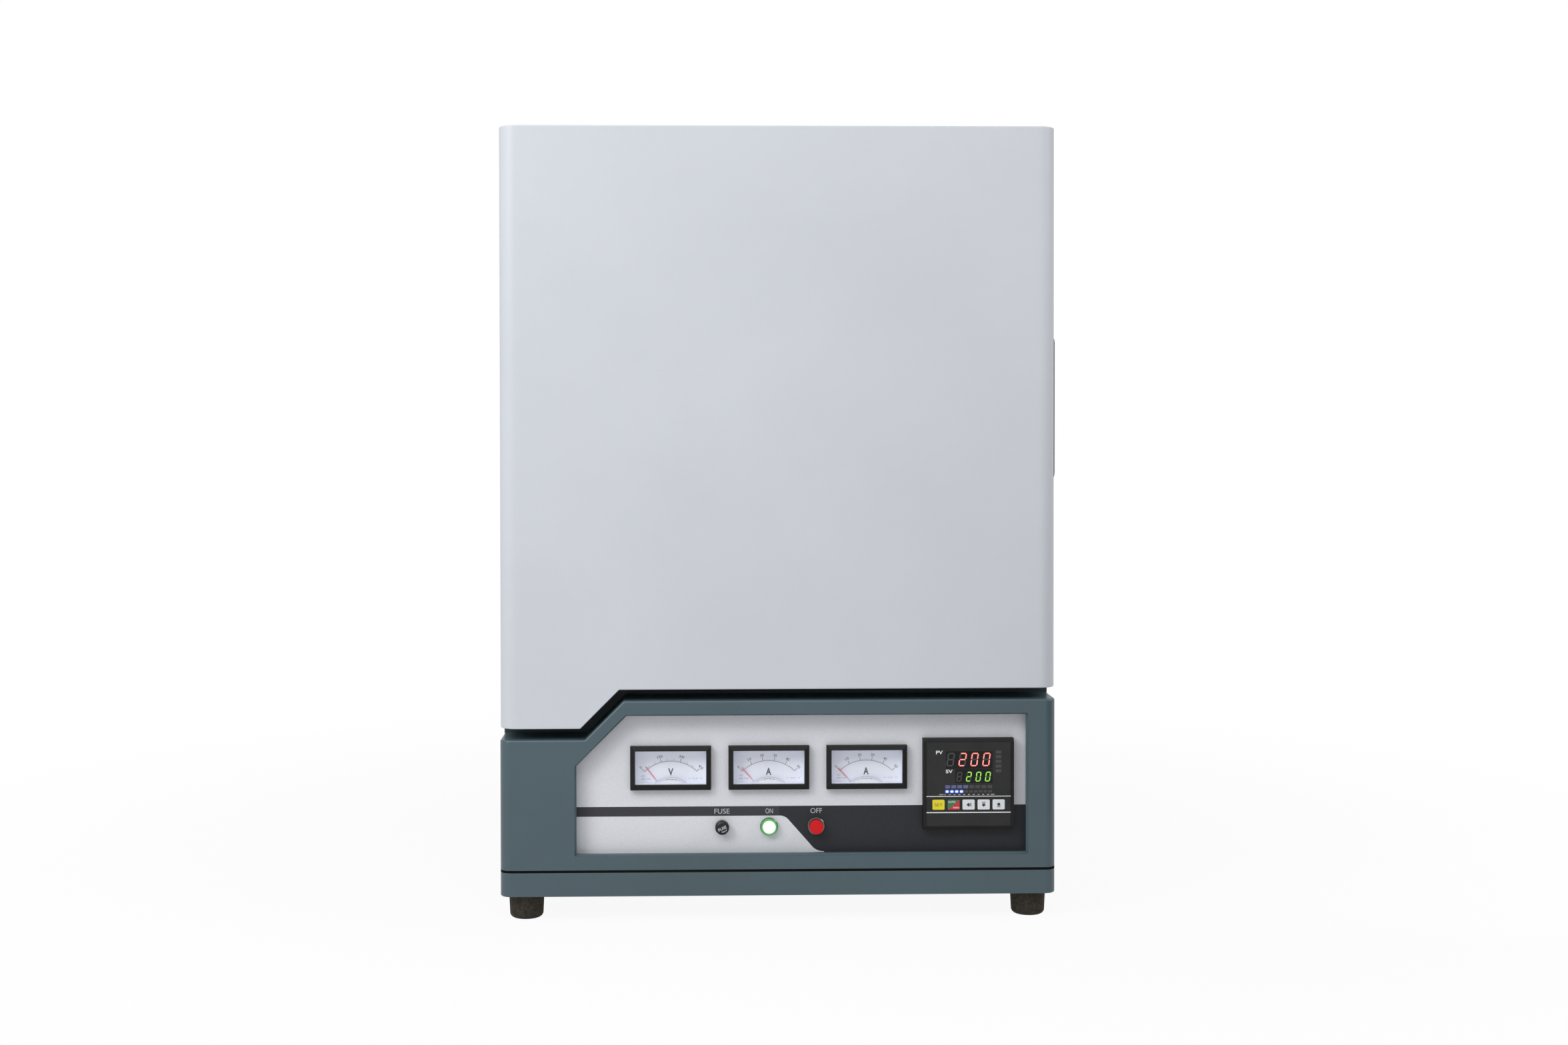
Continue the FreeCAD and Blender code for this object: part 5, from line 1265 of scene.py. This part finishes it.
for node in ("heating_element_left", "heating_element_right"):
    coil_low, coil_high = corners(node)
    x, front_y, middle_z = (coil_low[0] + coil_high[0]) / 2, coil_low[1], (coil_low[2] + coil_high[2]) / 2
    rear_y = front_y + row_length
    link_ys = (front_y + link_inset, rear_y - link_inset)
    rows = middle_z + row_pitch * (np.arange(row_count) - row_count // 2)
    shapes = [coil(x, z, front_y + wire_radius, rear_y, coil_radius - wire_radius) for z in rows]
    for index, z in enumerate(rows[:-1]):
        y = link_ys[index % 2]
        shapes.append(wire([(x, y, z), (x, y, z + row_pitch)], link_radius, (0, 1, 0), sides=8))
    for z in rows[[0, -1]]:
        shapes.append(wire([(x, link_ys[1], z), (x, coil_high[1], z)], link_radius, (1, 0, 0), sides=10))
    make_piece(f"{node}_coils", shapes, oxidised_alloy, node, replaces=(node,))
print("coil rows a side:", len(rows))

# %% [markdown]
# ## Rope gasket
# The door closes on a rope of glass fibre, laid in a rounded square and pressed flat. Its
# three strands are a ripple of the section that turns along the rope.

# %% Rope
seal_low, seal_high = corners("door_seal")
rope_half = 6.0
rope_corner = 10.0
strands, lay = 3, 26.0


def square_path(low, high, radius, step=3.0):
    """Centre line of a rounded rectangle in even steps: point, outward direction and distance at each.

    The last value is its whole length."""
    left, right, foot, top = low[0] + radius, high[0] - radius, low[1] + radius, high[1] - radius
    centres = np.array([(right, foot), (right, top), (left, top), (left, foot)])
    bends = [arc(centre, radius, start, start + 90, 10) for centre, start in zip(centres, (270, 0, 90, 180))]
    outward = [(bend - centre) / radius for centre, bend in zip(centres, bends)]
    points, outward = (np.concatenate([*rows, rows[0][:1]]) for rows in (bends, outward))
    reach = np.concatenate([[0], np.cumsum(np.linalg.norm(np.diff(points, axis=0), axis=1))])
    at = np.linspace(0, reach[-1], int(reach[-1] / step), endpoint=False)
    columns = [np.interp(at, reach, column) for column in (*points.T, *outward.T)]
    outward = np.stack(columns[2:], axis=-1)
    outward /= np.linalg.norm(outward, axis=1, keepdims=True)
    return np.stack(columns[:2], axis=-1), outward, at, reach[-1]


def rope(low, high, y_low, y_high, half):
    """A flattened rope on the path: an oval section, rippled by the strands."""
    line, outward, at, whole = square_path(low, high, rope_corner)
    twist = 2 * math.pi * round(whole / lay) / whole * at
    angle = np.linspace(0, 2 * math.pi, 18, endpoint=False)
    ripple = 1 - 0.1 * np.abs(np.sin(strands / 2 * (angle[None] - twist[:, None])))
    flat = line[:, None] + (half * ripple * np.cos(angle))[..., None] * outward[:, None]
    depth = (y_low + y_high) / 2 + (y_high - y_low) / 2 * ripple * np.sin(angle)
    points = np.stack([flat[..., 0], depth, flat[..., 1]], axis=-1)
    return grid(np.concatenate([points, points[:1]]), closed=True)


low_line = seal_low[[0, 2]] + rope_half
high_line = seal_high[[0, 2]] - rope_half
gasket = rope(low_line, high_line, seal_low[1], seal_high[1], rope_half)
make_piece("gasket_rope", [gasket], rope_white, "door_seal", replaces=("door_seal",), crease=80)
print("rope length:", round(2 * float(np.sum(high_line - low_line))), "mm")

# %% [markdown]
# ## Screws
# The rear covers are held by pan-head screws with a cross recess, a row along each edge where
# the sheet has a flange behind it. One head is a short turned profile with a dark cross on
# it, repeated at each place. A head has few faces, since there are many heads.

# %% Cover screws
rear_low, rear_high = corners("rear_panel")
base_low, base_high = corners("base_rear_panel")
side_inset, rear_inset, base_inset = 9.0, 12.0, 16.0
screw_radius, screw_rise = 3.6, 1.8
head_profile = [(0, -screw_rise), (1.6, -1.7), (2.9, -1.2), (screw_radius, -0.3), (screw_radius, 0), (0, 0)]
cross = [(2.0, 0.5), (0.5, 0.5), (0.5, 2.0), (-0.5, 2.0), (-0.5, 0.5), (-2.0, 0.5)]
cross += [(-x, -z) for x, z in cross]
cross = np.insert(np.array(cross), 1, -screw_rise - print_gap, axis=1)
head, head_faces = turned(head_profile, (0, 0, 0), sides=14)
half_turn = np.array([-1, -1, 1])
sides_x = (rear_low[0] + side_inset, rear_high[0] - side_inset)
rear_rows = np.linspace(rear_low[2] + rear_inset, rear_high[2] - rear_inset, 5)
base_rows = (base_low[2] + base_inset, base_high[2] - base_inset)
places = [(x, z) for x in sides_x for z in rear_rows]
places += [(x, rear_rows[-1]) for x in np.linspace(*sides_x, 5)[1:-1]]
places += [(x, z) for x in (*sides_x, sides_x[0] / 3, sides_x[1] / 3) for z in base_rows]
places = np.insert(np.array(places), 1, rear_high[1], axis=1)
heads = [(head * half_turn + place, head_faces) for place in places]
crosses = [(cross * half_turn + place, [range(len(cross))]) for place in places]
make_piece("rear_cover_screws", heads, drawn_steel, "rear_panel")
make_piece("rear_cover_screws_recesses", crosses, key_ink, "rear_panel", closed=False)
print("screws on the rear:", len(places))

# %% [markdown]
# ## The view
# The view transform is set to Standard, so colours are shown without a film curve.

# %% View transform
bpy.context.scene.view_settings.view_transform = "Standard"
